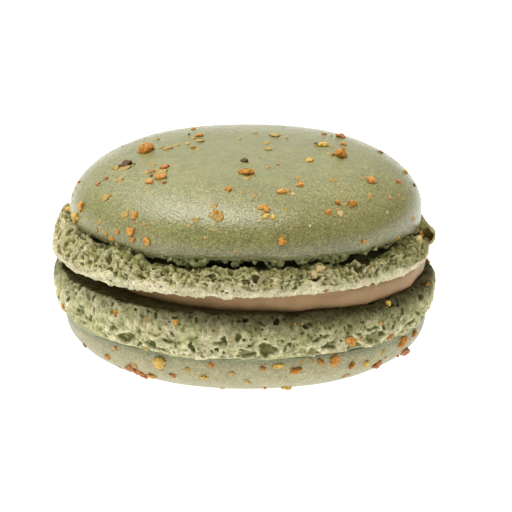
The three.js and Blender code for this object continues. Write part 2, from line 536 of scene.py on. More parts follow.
# Grain: the height of a fine powdery surface, from two finer layers of noise over the first.
grain_group, grain_given, grain_height = new_group("grain", {"Size": 0.25}, "Height")
grain_noise = noise_texture(grain_group, grain_given, detail=2.0, roughness=0.6)
grain_group.links.new(grain_noise, grain_height)

# Mottle: slow patches from 0 to 1, as the batter's colour is never quite even. Edge is how far from
# the noise's middle value they are whole.
mottle_group, mottle_given, mottle_mask = new_group("mottle", {"Size": 4.0, "Edge": 0.2}, "Mask")
mottle_noise = noise_texture(mottle_group, mottle_given, detail=3.0, roughness=0.55)
mottle_low = maths(mottle_group, "SUBTRACT", 0.5, mottle_given["Edge"], held=False)
mottle_high = maths(mottle_group, "ADD", 0.5, mottle_given["Edge"], held=False)
mottle_range = add_node(
    mottle_group,
    "ShaderNodeMapRange",
    {"Value": mottle_noise, "From Min": mottle_low, "From Max": mottle_high},
)
mottle_group.links.new(mottle_range.outputs["Result"], mottle_mask)

# Specks: a share of cells of a size holds one round speck. The radius, a share of the cell, is where it
# ends, and each speck is whole up to a random part of that.
specks_group, specks_given, specks_mask = new_group(
    "specks",
    {"Size": 1.0, "Radius": 0.15, "Share": 0.3},
    "Mask",
)
specks_cells = add_node(
    specks_group,
    "ShaderNodeTexVoronoi",
    {"Vector": specks_given["Place"], "Scale": per_metre(specks_group, specks_given["Size"])},
)
specks_chance = add_node(specks_group, "ShaderNodeSeparateColor", {"Color": specks_cells.outputs["Color"]})
specks_held = maths(
    specks_group,
    "LESS_THAN",
    specks_chance.outputs["Red"],
    specks_given["Share"],
    held=False,
)
specks_own = maths(
    specks_group,
    "MULTIPLY",
    specks_chance.outputs["Green"],
    specks_given["Radius"],
    held=False,
)
specks_range = add_node(
    specks_group,
    "ShaderNodeMapRange",
    {
        "Value": specks_cells.outputs["Distance"],
        "From Min": specks_own,
        "From Max": specks_given["Radius"],
        "To Min": 1.0,
        "To Max": 0.0,
    },
)
specks_whole = maths(specks_group, "MULTIPLY", specks_range.outputs["Result"], specks_held, held=False)
specks_group.links.new(specks_whole, specks_mask)


def start_material(name, roughness, specular):
    """A new material, with its node tree, its shader and its Object coordinates."""
    material = bpy.data.materials.new(name)
    material.use_nodes = True
    shader = material.node_tree.nodes["Principled BSDF"]
    shader.inputs["Roughness"].default_value = roughness
    shader.inputs["Specular IOR Level"].default_value = specular
    place = add_node(material.node_tree, "ShaderNodeTexCoord", {}).outputs["Object"]
    return material, material.node_tree, shader, place


def field(tree, name):
    """The value of one of a piece's fields."""
    return add_node(tree, "ShaderNodeAttribute", {}, attribute_name=name).outputs["Fac"]


def bump(tree, shader, place, layers):
    """Adds grain to the shader's normal, one bump after another: each layer is the grain's size and depth
    in millimetres."""
    heights = [use_group(tree, grain_group, place, Size=size) for size, _ in layers]
    normal = None
    for height, (_, depth) in zip(heights, layers):
        values = {"Height": height, "Distance": depth * MM, "Strength": 1.0}
        if normal is not None:
            values["Normal"] = normal
        normal = add_node(tree, "ShaderNodeBump", values).outputs["Normal"]
    tree.links.new(normal, shader.inputs["Normal"])


GRAIN_EDGE = 0.12


def grained(tree, colour, place, layers):
    """A colour with grain: each layer is a size and a depth, and multiplies the colour by one minus to one
    plus the depth."""
    for size, depth in layers:
        low, high = (1 - depth, 1 - depth, 1 - depth, 1), (1 + depth, 1 + depth, 1 + depth, 1)
        factor = mixed(tree, use_group(tree, mottle_group, place, Size=size, Edge=GRAIN_EDGE), low, high)
        colour = mixed(tree, 1.0, colour, factor, "MULTIPLY")
    return colour


def speckled(tree, colour, place, kinds):
    """A colour with specks: each kind has the specks group's size, radius and share, its strength, and its
    own colour."""
    for kind in kinds:
        own = {"Size": kind["size"], "Radius": kind["radius"], "Share": kind["share"]}
        mask = use_group(tree, specks_group, place, **own)
        colour = mixed(tree, times(tree, mask, kind["strength"]), colour, kind["colour"])
    return colour


# Grain and bumps are lists of sizes and depths.
SKIN_GRAIN = [(0.45, 0.08), (1.3, 0.06), (3.5, 0.05)]
POWDER_GRAIN = [(0.17, 0.26), (0.34, 0.17)]
CROWN_POWDER = 0.15  # as much of the powder as shows on the crown
# Tan stains, brown dots, and pale and dark bits of ground almond.
SKIN_SPECKS = [
    {"size": 2.2, "radius": 0.22, "share": 0.12, "strength": 0.3, "colour": (0.30, 0.18, 0.06, 1)},
    {"size": 1.1, "radius": 0.17, "share": 0.10, "strength": 0.5, "colour": (0.31, 0.19, 0.065, 1)},
    {"size": 0.7, "radius": 0.14, "share": 0.20, "strength": 0.8, "colour": (0.55, 0.52, 0.27, 1)},
    {"size": 1.2, "radius": 0.085, "share": 0.14, "strength": 0.8, "colour": (0.020, 0.020, 0.009, 1)},
]
# Painted shade for the skin's pits and for its creases.
PIT_SHADE_COLOUR = (0.06, 0.065, 0.025, 1)
CREASE_SHADE_COLOUR = (0.035, 0.05, 0.02, 1)
SKIN_BUMPS = [(0.8, 0.02), (0.32, 0.045), (0.16, 0.034)]


def skin_material(name, base, warm, skirt, roughness, specular, powder):
    """Meringue skin: the batter's colour with warm mottling and another colour on the skirt, which on the
    lower skin is partly painted shade under the foot, grain, a powder that is fainter on the crown, specks,
    painted shade in its pits and creases, and a slight orange peel."""
    material, tree, shader, place = start_material(name, roughness, specular)
    colour = mixed(tree, use_group(tree, mottle_group, place, Size=5.0, Edge=0.25), base, warm)
    colour = mixed(tree, times(tree, field(tree, "skirt"), 0.9), colour, skirt)
    colour = grained(tree, colour, place, SKIN_GRAIN)
    powdery = grained(tree, colour, place, [(size, depth * powder) for size, depth in POWDER_GRAIN])
    powdered = maths(tree, "ADD", times(tree, field(tree, "side"), 1 - CROWN_POWDER), CROWN_POWDER)
    colour = mixed(tree, powdered, colour, powdery)
    colour = speckled(tree, colour, place, SKIN_SPECKS)
    colour = mixed(tree, times(tree, field(tree, "pit"), 0.5), colour, PIT_SHADE_COLOUR)
    colour = mixed(tree, field(tree, "crease"), colour, CREASE_SHADE_COLOUR)
    tree.links.new(colour, shader.inputs["Base Color"])
    bump(tree, shader, place, SKIN_BUMPS)
    return material


LOWER_SKIN = {
    "base": (0.33, 0.320, 0.165, 1),
    "warm": (0.365, 0.320, 0.165, 1),
    # The skirt colour is darker and greener: partly the batter's colour, partly painted shade under the foot.
    "skirt": (0.225, 0.255, 0.132, 1),
    "roughness": 0.45,
    "specular": 0.5,
    "powder": 0.65,
}

lower_dome = dome_piece("lower_dome", *dome_surface(LOWER_DOME, LOWER_SKIRT, 100), set_lower)
lower_dome.data.materials.append(skin_material("lower_skin", **LOWER_SKIN))
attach(lower_dome, "root")
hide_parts("lower_shell")

# ---------------------------------------------------------------------------------------------
# The lower foot: the ruffled foam that rose out from under the lower shell while it baked. Its
# rim is smooth with pinholes, its middle has pits, and below them, down to the seam, wide
# craters have thin pale ridges between them.

LOWER_FOOT = {
    "radius": 22.75,
    "height": 5.2,
    "belly": 2.6,  # the height of its widest ring
    "rim_inset": 1.15,
    "seam_inset": 1.15,
    "crack_inset": 0.6,
    "phase": 2.1,
    "arch": 0.0,
    "torn": 0.05,
    "shift": -0.2,
}
FOOT_ROUNDNESS = 0.8  # 1 makes the ovals true ellipses, and less makes them squarer
FOOT_COLUMNS = 1250
FOOT_ROWS = {"crack": 8, "upper": 32, "lower": 22, "flat": 9}
# The end that is hidden in the dome: how far each row lies inside the crack's floor and above the seam.
HIDDEN_END = np.array([(2.2, 1.2), (1.2, 1.1), (0.25, 0.6)])
CRACK_RISE = 0.1  # from the seam to the crack's floor
FLAT_REACH = 3.6  # how far the flat side runs inwards

# The same ruffles as the CAD shells have: waves round the rim, each with its count, depth, turn and
# lean up the foot. At the seam and the rim they are about a third as deep as between them.
RUFFLES = [
    (2, 0.10, 0.4, 0.0),
    (5, 0.11, 1.9, 0.2),
    (9, 0.14, 4.4, 0.5),
    (13, 0.16, 2.7, -0.7),
    (18, 0.14, 5.6, 0.9),
]
RUFFLES_AT_EDGES = 0.35


def foot_outline(foot):
    """A foot's outline as rows of radius and height: a hidden end inside the dome, the floor of the crack
    under the skirt, two quarter ovals from the seam round the belly to the rim, and the flat side in
    towards the axis. Each row's share is -0.3 in the hidden end, -0.2 on the crack's floor, 0 at the seam,
    0.5 at the belly, 1 at the rim and 1.4 at the end of the flat side."""
    seam = foot["radius"] - foot["seam_inset"]
    rim = foot["radius"] - foot["rim_inset"]
    top = foot["height"]
    inward, above = HIDDEN_END.T
    upper = np.linspace(1, 0, FOOT_ROWS["upper"] + 1)[:-1] * math.pi / 2
    lower = np.linspace(0, 1, FOOT_ROWS["lower"]) * math.pi / 2
    crack = np.linspace(0, 1, FOOT_ROWS["crack"] + 1)[:-1]
    flat = np.linspace(0, 1, FOOT_ROWS["flat"] + 1)[1:]
    radius = [
        seam - foot["crack_inset"] - inward,
        seam - foot["crack_inset"] * (1 - crack),
        foot["radius"] - foot["seam_inset"] * (1 - np.cos(upper) ** FOOT_ROUNDNESS),
        foot["radius"] - foot["rim_inset"] * (1 - np.clip(np.cos(lower), 0, 1) ** FOOT_ROUNDNESS),
        rim - FLAT_REACH * flat**1.5,
    ]
    height = [
        top + above,
        top + CRACK_RISE * (1 - crack),
        foot["belly"] + (top - foot["belly"]) * np.sin(upper),
        foot["belly"] * (1 - np.sin(lower)),
        0 * flat,
    ]
    share = [
        np.full(len(HIDDEN_END), -0.3),
        -0.2 * (1 - crack),
        0.5 * (1 - upper / (math.pi / 2)),
        0.5 + 0.5 * lower / (math.pi / 2),
        1 + 0.4 * flat,
    ]
    return np.concatenate(radius), np.concatenate(height), np.concatenate(share)


def cell_gap(points, cell, seed):
    """Splits space between random centres, one in each cube of that size. Returns how much further off the
    second nearest centre is than the nearest, and a random number from 0 to 1 for the nearest."""
    home = np.floor(points / cell)
    nearest = np.full(points.shape[:-1], np.inf)
    second = np.full(points.shape[:-1], np.inf)
    own = np.zeros(points.shape[:-1])
    for step in itertools.product((-1, 0, 1), repeat=3):
        cube = home + step
        distance = np.linalg.norm(points - random_centre(cube, cell, seed), axis=-1)
        second = np.minimum(second, np.maximum(distance, nearest))
        own = np.where(distance < nearest, hashed(cube, seed + 3), own)
        nearest = np.minimum(nearest, distance)
    return second - nearest, own


def grid_outward(points):
    """The normals of a closed grid of rows and columns, from the steps between neighbours."""
    down = np.gradient(points, axis=0)
    around_axis = np.roll(points, -1, axis=1) - np.roll(points, 1, axis=1)
    outward = np.cross(down, around_axis)
    outward /= np.maximum(np.linalg.norm(outward, axis=-1, keepdims=True), 1e-9)
    return outward


def evened(values, steps):
    """Values of a grid, evened out by taking the mean of each point and its neighbours again and again."""
    for _ in range(steps):
        values = (values + np.roll(values, 1, axis=1) + np.roll(values, -1, axis=1)) / 3
        padded = np.pad(values, ((1, 1), (0, 0)), mode="edge")
        values = (padded[:-2] + padded[1:-1] + padded[2:]) / 3
    return values


def within(value, rise, fall):
    """1 from the end of the rise to the start of the fall, with a smooth step at each, and 0 outside."""
    return smooth_between(*rise, value) * smooth_between(*fall[::-1], value)


# The shares over which each of these begins and ends: what shows of a foot, what is lifted where its rim
# arches over the front, and what is torn at its rim.
FOOT_SEEN = ((-0.25, 0.1), (1.0, 1.35))
RIM_LIFTED = ((0.2, 1.0), (1.0, 1.4))
RIM_TORN = ((0.8, 1.0), (1.05, 1.25))


def ruffled_foot(foot):
    """The foot before its foam: its outline turned round the axis and moved out and in by the ruffles,
    depth times the sine of (count times bearing, plus turn, plus lean times height). The rim arches over
    the front by the arch times the sine of the turn from the side, its edge is torn by fine noise, and the
    whole is shifted sideways. Returns the points, their shares and bearings, and seen, which is 1 on what
    shows and falls to 0 on the hidden ends."""
    rows = [values[:, None] for values in foot_outline(foot)]
    columns = np.arange(FOOT_COLUMNS)[None, :] / FOOT_COLUMNS * 2 * math.pi
    radius, height, share, bearing = np.broadcast_arrays(*rows, columns)
    band = np.sin(math.pi * np.clip(height / foot["height"], 0, 1))
    ruffle = sum(
        depth * np.sin(count * bearing + turn + foot["phase"] + lean * height)
        for count, depth, turn, lean in RUFFLES
    )
    seen = within(share, *FOOT_SEEN)
    radius = radius + ruffle * (RUFFLES_AT_EDGES + (1 - RUFFLES_AT_EDGES) * band) * seen
    points = turned(radius, bearing, height)
    points[..., 2] += foot["arch"] * np.maximum(0, -np.sin(bearing)) * within(share, *RIM_LIFTED)
    torn = foot["torn"] * rough_noise(points, size=0.9, layers=3, seed=190)
    points[..., 2] += torn * within(share, *RIM_TORN)
    points[..., 0] += foot["shift"] * seen
    return points, share, bearing, seen


def softened(depth, knee):
    """Depths d of round holes with softer edges: d^2 / (d + knee)."""
    return depth**2 / (depth + knee)


def held_under(most, depth):
    """Depths d that come close to a greatest depth m and don't pass it: m tanh(d / m)."""
    return most * np.tanh(depth / most)


def crumpled(points, strength, size, seed):
    """Points moved every way by smooth noise, so that round bubbles in them come out crooked."""
    shift = [rough_noise(points, size, layers=2, seed=seed + 7 * axis) for axis in range(3)]
    return points + strength * np.stack(shift, -1)


def foot_piece(name, points, fields, place):
    """Joins rows round an axis into a closed mesh, with a pole in the middle of its first row and one in the
    middle of its last."""
    rows, columns = points.shape[:2]
    index = np.arange(rows * columns).reshape(rows, columns)
    beside = np.roll(index, -1, axis=1)
    quads = np.stack([index[:-1], index[1:], beside[1:], beside[:-1]], -1).reshape(-1, 4)
    poles = [points[0].mean(axis=0), points[-1].mean(axis=0)]
    fans = [closing_fan(index[0], rows * columns), closing_fan(index[-1][::-1], rows * columns + 1)]
    points = np.concatenate([points.reshape(-1, 3), poles])
    fields = {field: np.append(values.ravel(), [0, 0]) for field, values in fields.items()}
    return mesh_piece(name, place(points), quads, np.concatenate(fans), fields)


EVENING_STEPS = 10
# Hollows get painted shade, darker and greener, in full this far below the mean.
HOLLOW_SHADE_BELOW = 0.18  # as far below the mean as a point is fully green
# Points that stand out are creamier, with painted light, in full this far above the mean.
CREAMY_AND_LIT_ABOVE = 0.15
# Near the cream the foam is darker over these shares: partly soaked with butter, partly painted shade.
SOAKED_AND_SHADED_SHARES = (0.46, 0.84)


def foam_fields(relief, hollow, share, **others):
    """What the foam's material reads: how deep a point lies in a bubble or under the mean of those round it,
    for painted shade in its hollows; ridge, how far it stands above that mean, for creaminess and painted
    light;
    soaking and painted shade near the cream; band, where the foam is smooth and pale; strip, where it is
    smooth and green; shaded, painted shade on torn foam; and crack, painted black shade."""
    stand = relief - evened(relief, EVENING_STEPS)
    fields = {
        "pore": np.clip(np.maximum(hollow, -stand / HOLLOW_SHADE_BELOW), 0, 1),
        "ridge": np.clip(stand / CREAMY_AND_LIT_ABOVE, 0, 1),
        "greasy": smooth_between(*SOAKED_AND_SHADED_SHARES, share),
    }
    return fields | {other: others.get(other, 0 * share) for other in ("band", "strip", "shaded", "crack")}


FOAM_GRAIN = [(0.17, 0.18), (0.4, 0.15), (0.9, 0.12)]
FOAM_BUMPS = [(0.35, 0.08), (0.14, 0.04)]
# Pinholes too small for the mesh, painted as near black specks of shade.
PINHOLE_SHADE_SPECKS = {"size": 0.6, "radius": 0.18, "share": 0.35, "strength": 0.75}
GREEN_PATCHES = (0.72, 0.84, 0.62, 1)  # these three darken the foam's own colour
# Painted shade for torn foam that lies in shadow.
TORN_IN_SHADE = (0.50, 0.52, 0.36, 1)
# Darkening near the cream: partly butter soaked into the foam, partly painted shade.
SOAKED_AND_SHADED_COLOUR = (0.10, 0.09, 0.045, 1)
STRIP_GREEN = (0.33, 0.36, 0.20, 1)


def foam_material(name, base, ridge, pale, hollow, deep, soaked_and_shaded_strength):
    """Baked foam: pale in its smooth band, creamy and with painted light on its ridges, with painted shade,
    green in its hollows and near black in its pinholes and in the crack, darker with painted shade where it
    was torn in the shade, darker near the cream where it is soaked and in painted shade, with mottling and a
    dry grain."""
    material, tree, shader, place = start_material(name, roughness=0.85, specular=0.12)
    slow = times(tree, use_group(tree, mottle_group, place, Size=1.4, Edge=0.12), 0.65)
    colour = mixed(tree, slow, base, ridge)
    colour = mixed(tree, times(tree, field(tree, "band"), 0.8), colour, pale)
    colour = mixed(tree, times(tree, field(tree, "ridge"), 0.9), colour, ridge)
    colour = grained(tree, colour, place, FOAM_GRAIN)
    green = use_group(tree, mottle_group, place, Size=2.3, Edge=0.15)
    colour = mixed(tree, times(tree, green, 0.6), colour, GREEN_PATCHES, "MULTIPLY")
    colour = mixed(tree, times(tree, field(tree, "pore"), 1.4), colour, hollow)
    colour = speckled(tree, colour, place, [PINHOLE_SHADE_SPECKS | {"colour": deep}])
    colour = mixed(tree, field(tree, "shaded"), colour, TORN_IN_SHADE, "MULTIPLY")
    colour = mixed(tree, times(tree, field(tree, "greasy"), soaked_and_shaded_strength), colour, SOAKED_AND_SHADED_COLOUR, "MULTIPLY")
    colour = mixed(tree, times(tree, field(tree, "strip"), 0.9), colour, STRIP_GREEN)
    colour = mixed(tree, field(tree, "crack"), colour, deep)
    tree.links.new(colour, shader.inputs["Base Color"])
    bump(tree, shader, place, FOAM_BUMPS)
    return material


# Places round the lower shell, each with its middle and half width in degrees. Turning it upside down
# mirrors them, so that here 90 is the front, 0 the right and 180 the left.
# On this side the lower foot gets less soaking and less painted shade near the cream.
LESS_SOAKED_AND_SHADED_SIDE = (150, 34)  # the cream left it clean
STRIP_SIDE = (150, 22)
CRACK_SIDE = (140, 30)
SHADED_SIDE = (55, 34)
FOLDED_SIDE = (8, 20)
# Where it is drawn in: middle, half width, share, half of the share's range, and depth.
LOWER_HOLLOWS = [(176, 22, 0.20, 0.25, 0.65), (4, 18, 0.15, 0.22, 0.5)]
# Where the smooth strip ends, as a share: the least, what its side adds, how far it wanders, and from
# where to where it fades.
STRIP = {"least": 0.05, "more": 0.20, "wander": 0.03, "end": (-0.02, 0.05)}
LOWER_WAVES = {"slow": 0.16, "granules": 0.15, "lumps": 0.06, "folds": 0.22}
UPRIGHT = (1, 1, 0.2)  # stretches noise into upright folds
CRATERS = {"squash": (0.55, 0.55, 0.85), "cell": 1.5, "least": 0.25, "more": 1.15, "edge": (0.14, 0.70)}
CRATER_SHARES = (0.36, 0.58)  # the craters are whole up to the first and end at the second
LOWER_PITS = {"cell": 0.95, "smallest": 0.17, "largest": 0.55, "share": 0.85}
LOWER_PINHOLES = {"cell": 0.45, "smallest": 0.07, "largest": 0.20, "share": 0.6}
LOWER_DEEPEST = 0.75
# How far a crater and a hole go in, and how much painted shade they get. Higher up, over these shares, a
# hole gets more painted shade.
LOWER_CARVED = {"crater": 0.75, "hole": 0.9}
LOWER_HOLLOW_SHADE = {"crater": 0.42, "hole": 1.25, "higher_hole": 0.9}
HIGHER_SHARES = (0.35, 0.6)
STRIP_SHOWN = ((-0.05, 0.0), (0.4, 0.5))  # the shares over which the strip's green begins and ends
# The crack's black is painted shade.
CRACK_SHARES = (0.03, -0.10)  # the shares over which a foot gets black, from the seam into the crack
CRACK_ELSEWHERE = 0.1  # how black the lower crack is away from its side
# Painted shade on its side: its strength, the shares over which it begins, how far they wander, and over
# which shares it ends past the rim.
LOWER_SHADE = {"most": 0.75, "shares": (0.35, 0.65), "wander": 0.25, "end": (1.2, 1.0)}
# Less soaking and painted shade on the lighter side, and the shares over which the rim's own begins.
LESS_SOAKED_AND_SHADED = 0.6  # how much less of it the clean side has
RIM_SOAKED_AND_SHADED = (0.85, 1.0)  # the shares over which the rim's own grease begins


def lower_foam(foot):
    """Foam of the lower foot. By the seam runs a smooth strip, wider on the left. Above it the foam is split
    into wide craters with ridges between them: each cell sinks smoothly towards its own depth, further in
    from its neighbours. Balls are carved all over above the strip, upright folds run down the right side,
    and the foot is drawn in on both sides. Hollows get painted shade, the darker the higher they lie, and
    painted shade also falls on the crack by the seam, on the right side and near the cream."""
    points, share, bearing, seen = ruffled_foot(foot)
    outward = grid_outward(points)
    strip_end = STRIP["least"] + STRIP["more"] * around(bearing, *STRIP_SIDE)
    strip_end = strip_end + STRIP["wander"] * soft_noise(points, size=2.0, seed=200)
    end_low, end_high = STRIP["end"]
    above_strip = smooth_between(strip_end + end_low, strip_end + end_high, share)
    foamy = above_strip * smooth_between(*FOOT_SEEN[1][::-1], share)
    folds = LOWER_WAVES["folds"] * soft_noise(points * UPRIGHT, size=0.9, seed=205)
    granules = (
        LOWER_WAVES["granules"] * rough_noise(points, size=1.3, layers=4, seed=202)
        + LOWER_WAVES["lumps"] * billows(points, size=0.6, layers=2, seed=203)
    )
    drawn_in = sum(
        depth * bell(turn_from(bearing, middle) / half, (share - height) / tall)
        for middle, half, height, tall, depth in LOWER_HOLLOWS
    )
    waves = LOWER_WAVES["slow"] * soft_noise(points, size=2.6, seed=201) + granules * foamy
    waves = waves + folds * around(bearing, *FOLDED_SIDE) - drawn_in
    bent = crumpled(points + outward * (waves * seen)[..., None], strength=0.30, size=1.1, seed=210)
    gap, own = cell_gap(bent * CRATERS["squash"], CRATERS["cell"], seed=220)
    crater_zone = smooth_between(*CRATER_SHARES[::-1], share) * foamy
    crater = (CRATERS["least"] + CRATERS["more"] * own) * smooth_between(*CRATERS["edge"], gap) * crater_zone
    pits = softened(way_out(bent, -outward, **LOWER_PITS, seed=230, room=foamy), knee=0.15)
    holes = np.maximum(pits, way_out(bent, -outward, **LOWER_PINHOLES, seed=240, room=foamy))
    carved = LOWER_CARVED["crater"] * crater + LOWER_CARVED["hole"] * holes
    relief = waves - held_under(LOWER_DEEPEST, carved)
    points = points + outward * (relief * seen)[..., None]
    higher = smooth_between(*HIGHER_SHARES, share)
    hole_shade = LOWER_HOLLOW_SHADE["hole"] + LOWER_HOLLOW_SHADE["higher_hole"] * higher
    hollow = LOWER_HOLLOW_SHADE["crater"] * crater**1.5 + hole_shade * holes
    strip = (1 - foamy) * within(share, *STRIP_SHOWN)
    crack = CRACK_ELSEWHERE + (1 - CRACK_ELSEWHERE) * around(bearing, *CRACK_SIDE)
    crack = smooth_between(*CRACK_SHARES, share) * crack
    shade_share = share + LOWER_SHADE["wander"] * soft_noise(points, size=2.4, seed=250)
    shaded = LOWER_SHADE["most"] * smooth_between(*LOWER_SHADE["shares"], shade_share)
    shaded = shaded * around(bearing, *SHADED_SIDE) * smooth_between(*LOWER_SHADE["end"], share)
    fields = foam_fields(relief, hollow, share, strip=strip, crack=crack, shaded=shaded)
    side_soaking_and_shade = 1 - LESS_SOAKED_AND_SHADED * around(bearing, *LESS_SOAKED_AND_SHADED_SIDE)
    fields["greasy"] = np.maximum(fields["greasy"] * side_soaking_and_shade, smooth_between(*RIM_SOAKED_AND_SHADED, share))
    return points, fields


LOWER_FOAM = {
    "base": (0.44, 0.400, 0.190, 1),
    "ridge": (0.74, 0.670, 0.450, 1),
    "pale": (0.68, 0.62, 0.38, 1),
    # Painted shade, darker and greener, for its hollows; near black painted shade for pinholes and the crack.
    "hollow": (0.140, 0.150, 0.050, 1),
    "deep": (0.014, 0.018, 0.006, 1),
    "soaked_and_shaded_strength": 0.9,
}

lower_foot = foot_piece("lower_foot", *lower_foam(LOWER_FOOT), set_lower)
lower_foot.data.materials.append(foam_material("lower_foam", **LOWER_FOAM))
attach(lower_foot, "root")
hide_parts("lower_shell")

# ---------------------------------------------------------------------------------------------
# The filling: a disc of smooth brown cream, piped on the lower shell and pressed flat by the
# upper one. Its edge bulges, further out on the right, and stays inside the feet on the left.

UPPER_FACE_HEIGHT = 14.0
FILLING_RADIUS = 20.75
FILLING_BULGE = 0.55
FILLING_ROUNDNESS = 0.7  # 1 makes the bulge a true oval, and less makes it squarer
# Where it stays further in: bearing and half width in degrees, and depth.
FILLING_HOLLOWS = [(-142, 42, 1.55), (4, 24, 0.65)]
FILLING_TUCK = 0.55  # how far its lower edge stays back
FILLING_ARCH = 0.5  # its upper edge follows the arch of the upper shell's rim
FILLING_SINK = 0.15  # how far it reaches into each shell
FILLING_INSIDE = 0.93  # its hidden faces end at this share of the edge's radius
FILLING_COLUMNS = 900
FILLING_ROWS = 30

# Unevenness of the cream: height and size of its waves, long and low smears, and a fine grain.
CREAM_WAVES = [(0.22, 6.0), (0.10, 1.8)]
CREAM_SMEARS = (0.05, 1.0)
SMEAR_STRETCH = (3.0, 3.0, 0.5)
CREAM_GRAIN = (0.015, 0.5)


def filling_surface():
    """The cream as rows round its edge: the radius is the disc's plus the bulge times a power of the cosine
    of an angle from the top to the bottom, less the tuck times the square of the share downwards and
    bell-shaped hollows on the left and right, moved by slow waves, by smears and by a fine grain. The top
    rises at the front as the rim above it does, and the bottom leans with the lower shell."""
    angle = np.linspace(-1, 1, FILLING_ROWS)[:, None] * math.pi / 2
    bearing = np.arange(FILLING_COLUMNS)[None, :] / FILLING_COLUMNS * 2 * math.pi
    middle = (UPPER_FACE_HEIGHT + LOWER_FACE_HEIGHT) / 2
    half = (UPPER_FACE_HEIGHT - LOWER_FACE_HEIGHT) / 2 + FILLING_SINK
    height = middle + half * np.sin(-angle) + 0 * bearing
    height = height + FILLING_ARCH * np.maximum(0, -np.sin(bearing)) * (1 - np.sin(angle)) / 2
    bulge = FILLING_BULGE * np.cos(angle) ** FILLING_ROUNDNESS - FILLING_TUCK * ((1 + np.sin(angle)) / 2) ** 2
    hollow = sum(depth * around(bearing, place, width) for place, width, depth in FILLING_HOLLOWS)
    points = turned(FILLING_RADIUS + bulge - hollow, bearing + 0 * angle, height)
    relief = (
        layered_noise(points, CREAM_WAVES, seed=301)
        + layered_noise(points / SMEAR_STRETCH, [CREAM_SMEARS], seed=303)
        + layered_noise(points, [CREAM_GRAIN], seed=304)
    )
    outward = turned(1 + 0 * height, bearing + 0 * angle, 0 * height)
    points = points + outward * relief[..., None]
    inside = (FILLING_INSIDE, FILLING_INSIDE, 1)
    points = np.concatenate([points[:1] * inside, points, points[-1:] * inside])
    points[..., 0] += FILLING_OFFSET / MM
    share = (UPPER_FACE_HEIGHT - points[..., 2]) / (UPPER_FACE_HEIGHT - LOWER_FACE_HEIGHT)
    points[..., 2] -= share * points[..., 0] * math.tan(LOWER_FACE_LEAN)
    return points


CREAM_BASE = (0.32, 0.195, 0.085, 1)
CREAM_WARM = (0.42, 0.262, 0.118, 1)
CREAM_SHADE = (0.80, 0.76, 0.70, 1)
CREAM_SPECKS = {"size": 1.5, "radius": 0.09, "share": 0.2, "strength": 0.6, "colour": (0.10, 0.05, 0.03, 1)}
CREAM_BUMPS = [(0.5, 0.02), (0.15, 0.006)]


def cream_material(name):
    """Butter cream: brown taupe, mottled, with a few darker specks, soft and satin."""
    material, tree, shader, place = start_material(name, roughness=0.55, specular=0.4)
    shader.inputs["Subsurface Weight"].default_value = 0.15
    shader.inputs["Subsurface Scale"].default_value = 0.6 * MM
    slow = use_group(tree, mottle_group, place, Size=3.0, Edge=0.25)
    colour = mixed(tree, slow, CREAM_BASE, CREAM_WARM)
    fine = use_group(tree, mottle_group, place, Size=0.4, Edge=0.25)
    colour = mixed(tree, times(tree, fine, 0.25), colour, CREAM_SHADE, "MULTIPLY")
    colour = speckled(tree, colour, place, [CREAM_SPECKS])
    tree.links.new(colour, shader.inputs["Base Color"])
    bump(tree, shader, place, CREAM_BUMPS)
    return material


filling_cream = foot_piece("filling_cream", filling_surface(), {}, lambda points: points)
filling_cream.data.materials.append(cream_material("brown_cream"))
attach(filling_cream, "root")
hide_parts("filling")

# ---------------------------------------------------------------------------------------------
# The upper foot: the foam of the upper shell. Its upper three fifths are torn crumb with dark gaps
# under the skirt, and the rest is a smoother pale band down to a crisp rim.

UPPER_FOOT = {
    "radius": 22.7,
    "height": 3.55,
    "belly": 1.4,
    "rim_inset": 0.6,
    "seam_inset": 1.7,
    "crack_inset": 1.6,
    "phase": 0.0,
    "arch": 0.6,
    "torn": 0.34,
    "shift": -0.25,
}
# Dents of its side: bearing and half width in degrees, height, half height and depth.
FOOT_DENTS = [
    (-9, 4.5, 2.5, 1.0, 1.3),
    (3, 18, 3.8, 1.3, 0.7),
    (0, 18, 0.8, 1.9, 0.6),
    (-176, 22, 4.4, 1.5, 0.6),
]
# Where the torn crumb stands up against the skirt: bearing and half width in degrees, and height.
FOOT_HEAPS = [
    (-176, 20, 1.35),
    (-148, 11, 0.75),
    (-133, 7, 0.95),
    (-25, 7, 1.0),
    (24, 14, 0.6),
    (95, 20, 0.5),
]
BEHIND_BUBBLE = (2, 13)  # the middle and half width of where the foot is smoother, in degrees
# Round this bearing the torn crumb is darkened by painted shade.
DUSKY_SIDE = -20  # the bearing round which the torn crumb is in the skirt's shade

UPPER_SKIRT = {
    "edge": 4.55,
    "tuck": 0.50,
    "lip": 0.22,
    "lean": math.radians(1.3),
    "ragged": 1.0,
    # Where it hangs lower: bearing and half width in degrees, and depth.
    "dips": [
        (-168, 14, 1.25),
        (-145, 8, 0.3),
        (-123, 14, 0.5),
        (-57, 10, 0.12),
        (-12, 18, 0.75),
        (70, 12, 0.4),
    ],
    "creases": [(0.30, 0.0, 0.06, 0.5), (0.75, 0.0, 0.05, 0.3), (1.5, 0.0, 0.05, 0.2)],
}

# Torn crumb: heights of its slow waves, its roughness and its lumps, and how far it lies back.
TORN_CRUMB = {"waves": 0.34, "roughness": 0.30, "lumps": 0.22, "back": 0.08}
BIG_BUBBLES = {"cell": 2.2, "smallest": 0.34, "largest": 0.85, "share": 0.6}
MIDDLE_BUBBLES = {"cell": 1.1, "smallest": 0.14, "largest": 0.52, "share": 0.6}
SMALL_BUBBLES = {"cell": 0.42, "smallest": 0.08, "largest": 0.21, "share": 0.6}
BAND_BUBBLES = {"big": 0.6, "middle": 0.15, "small": 0.75}  # their size in the smooth band, as a share
UPPER_DEEPEST = 0.7


def set_upper(points):
    """Sets a shell, crown up, with its flat side at its height."""
    return points + (0, 0, UPPER_FACE_HEIGHT)


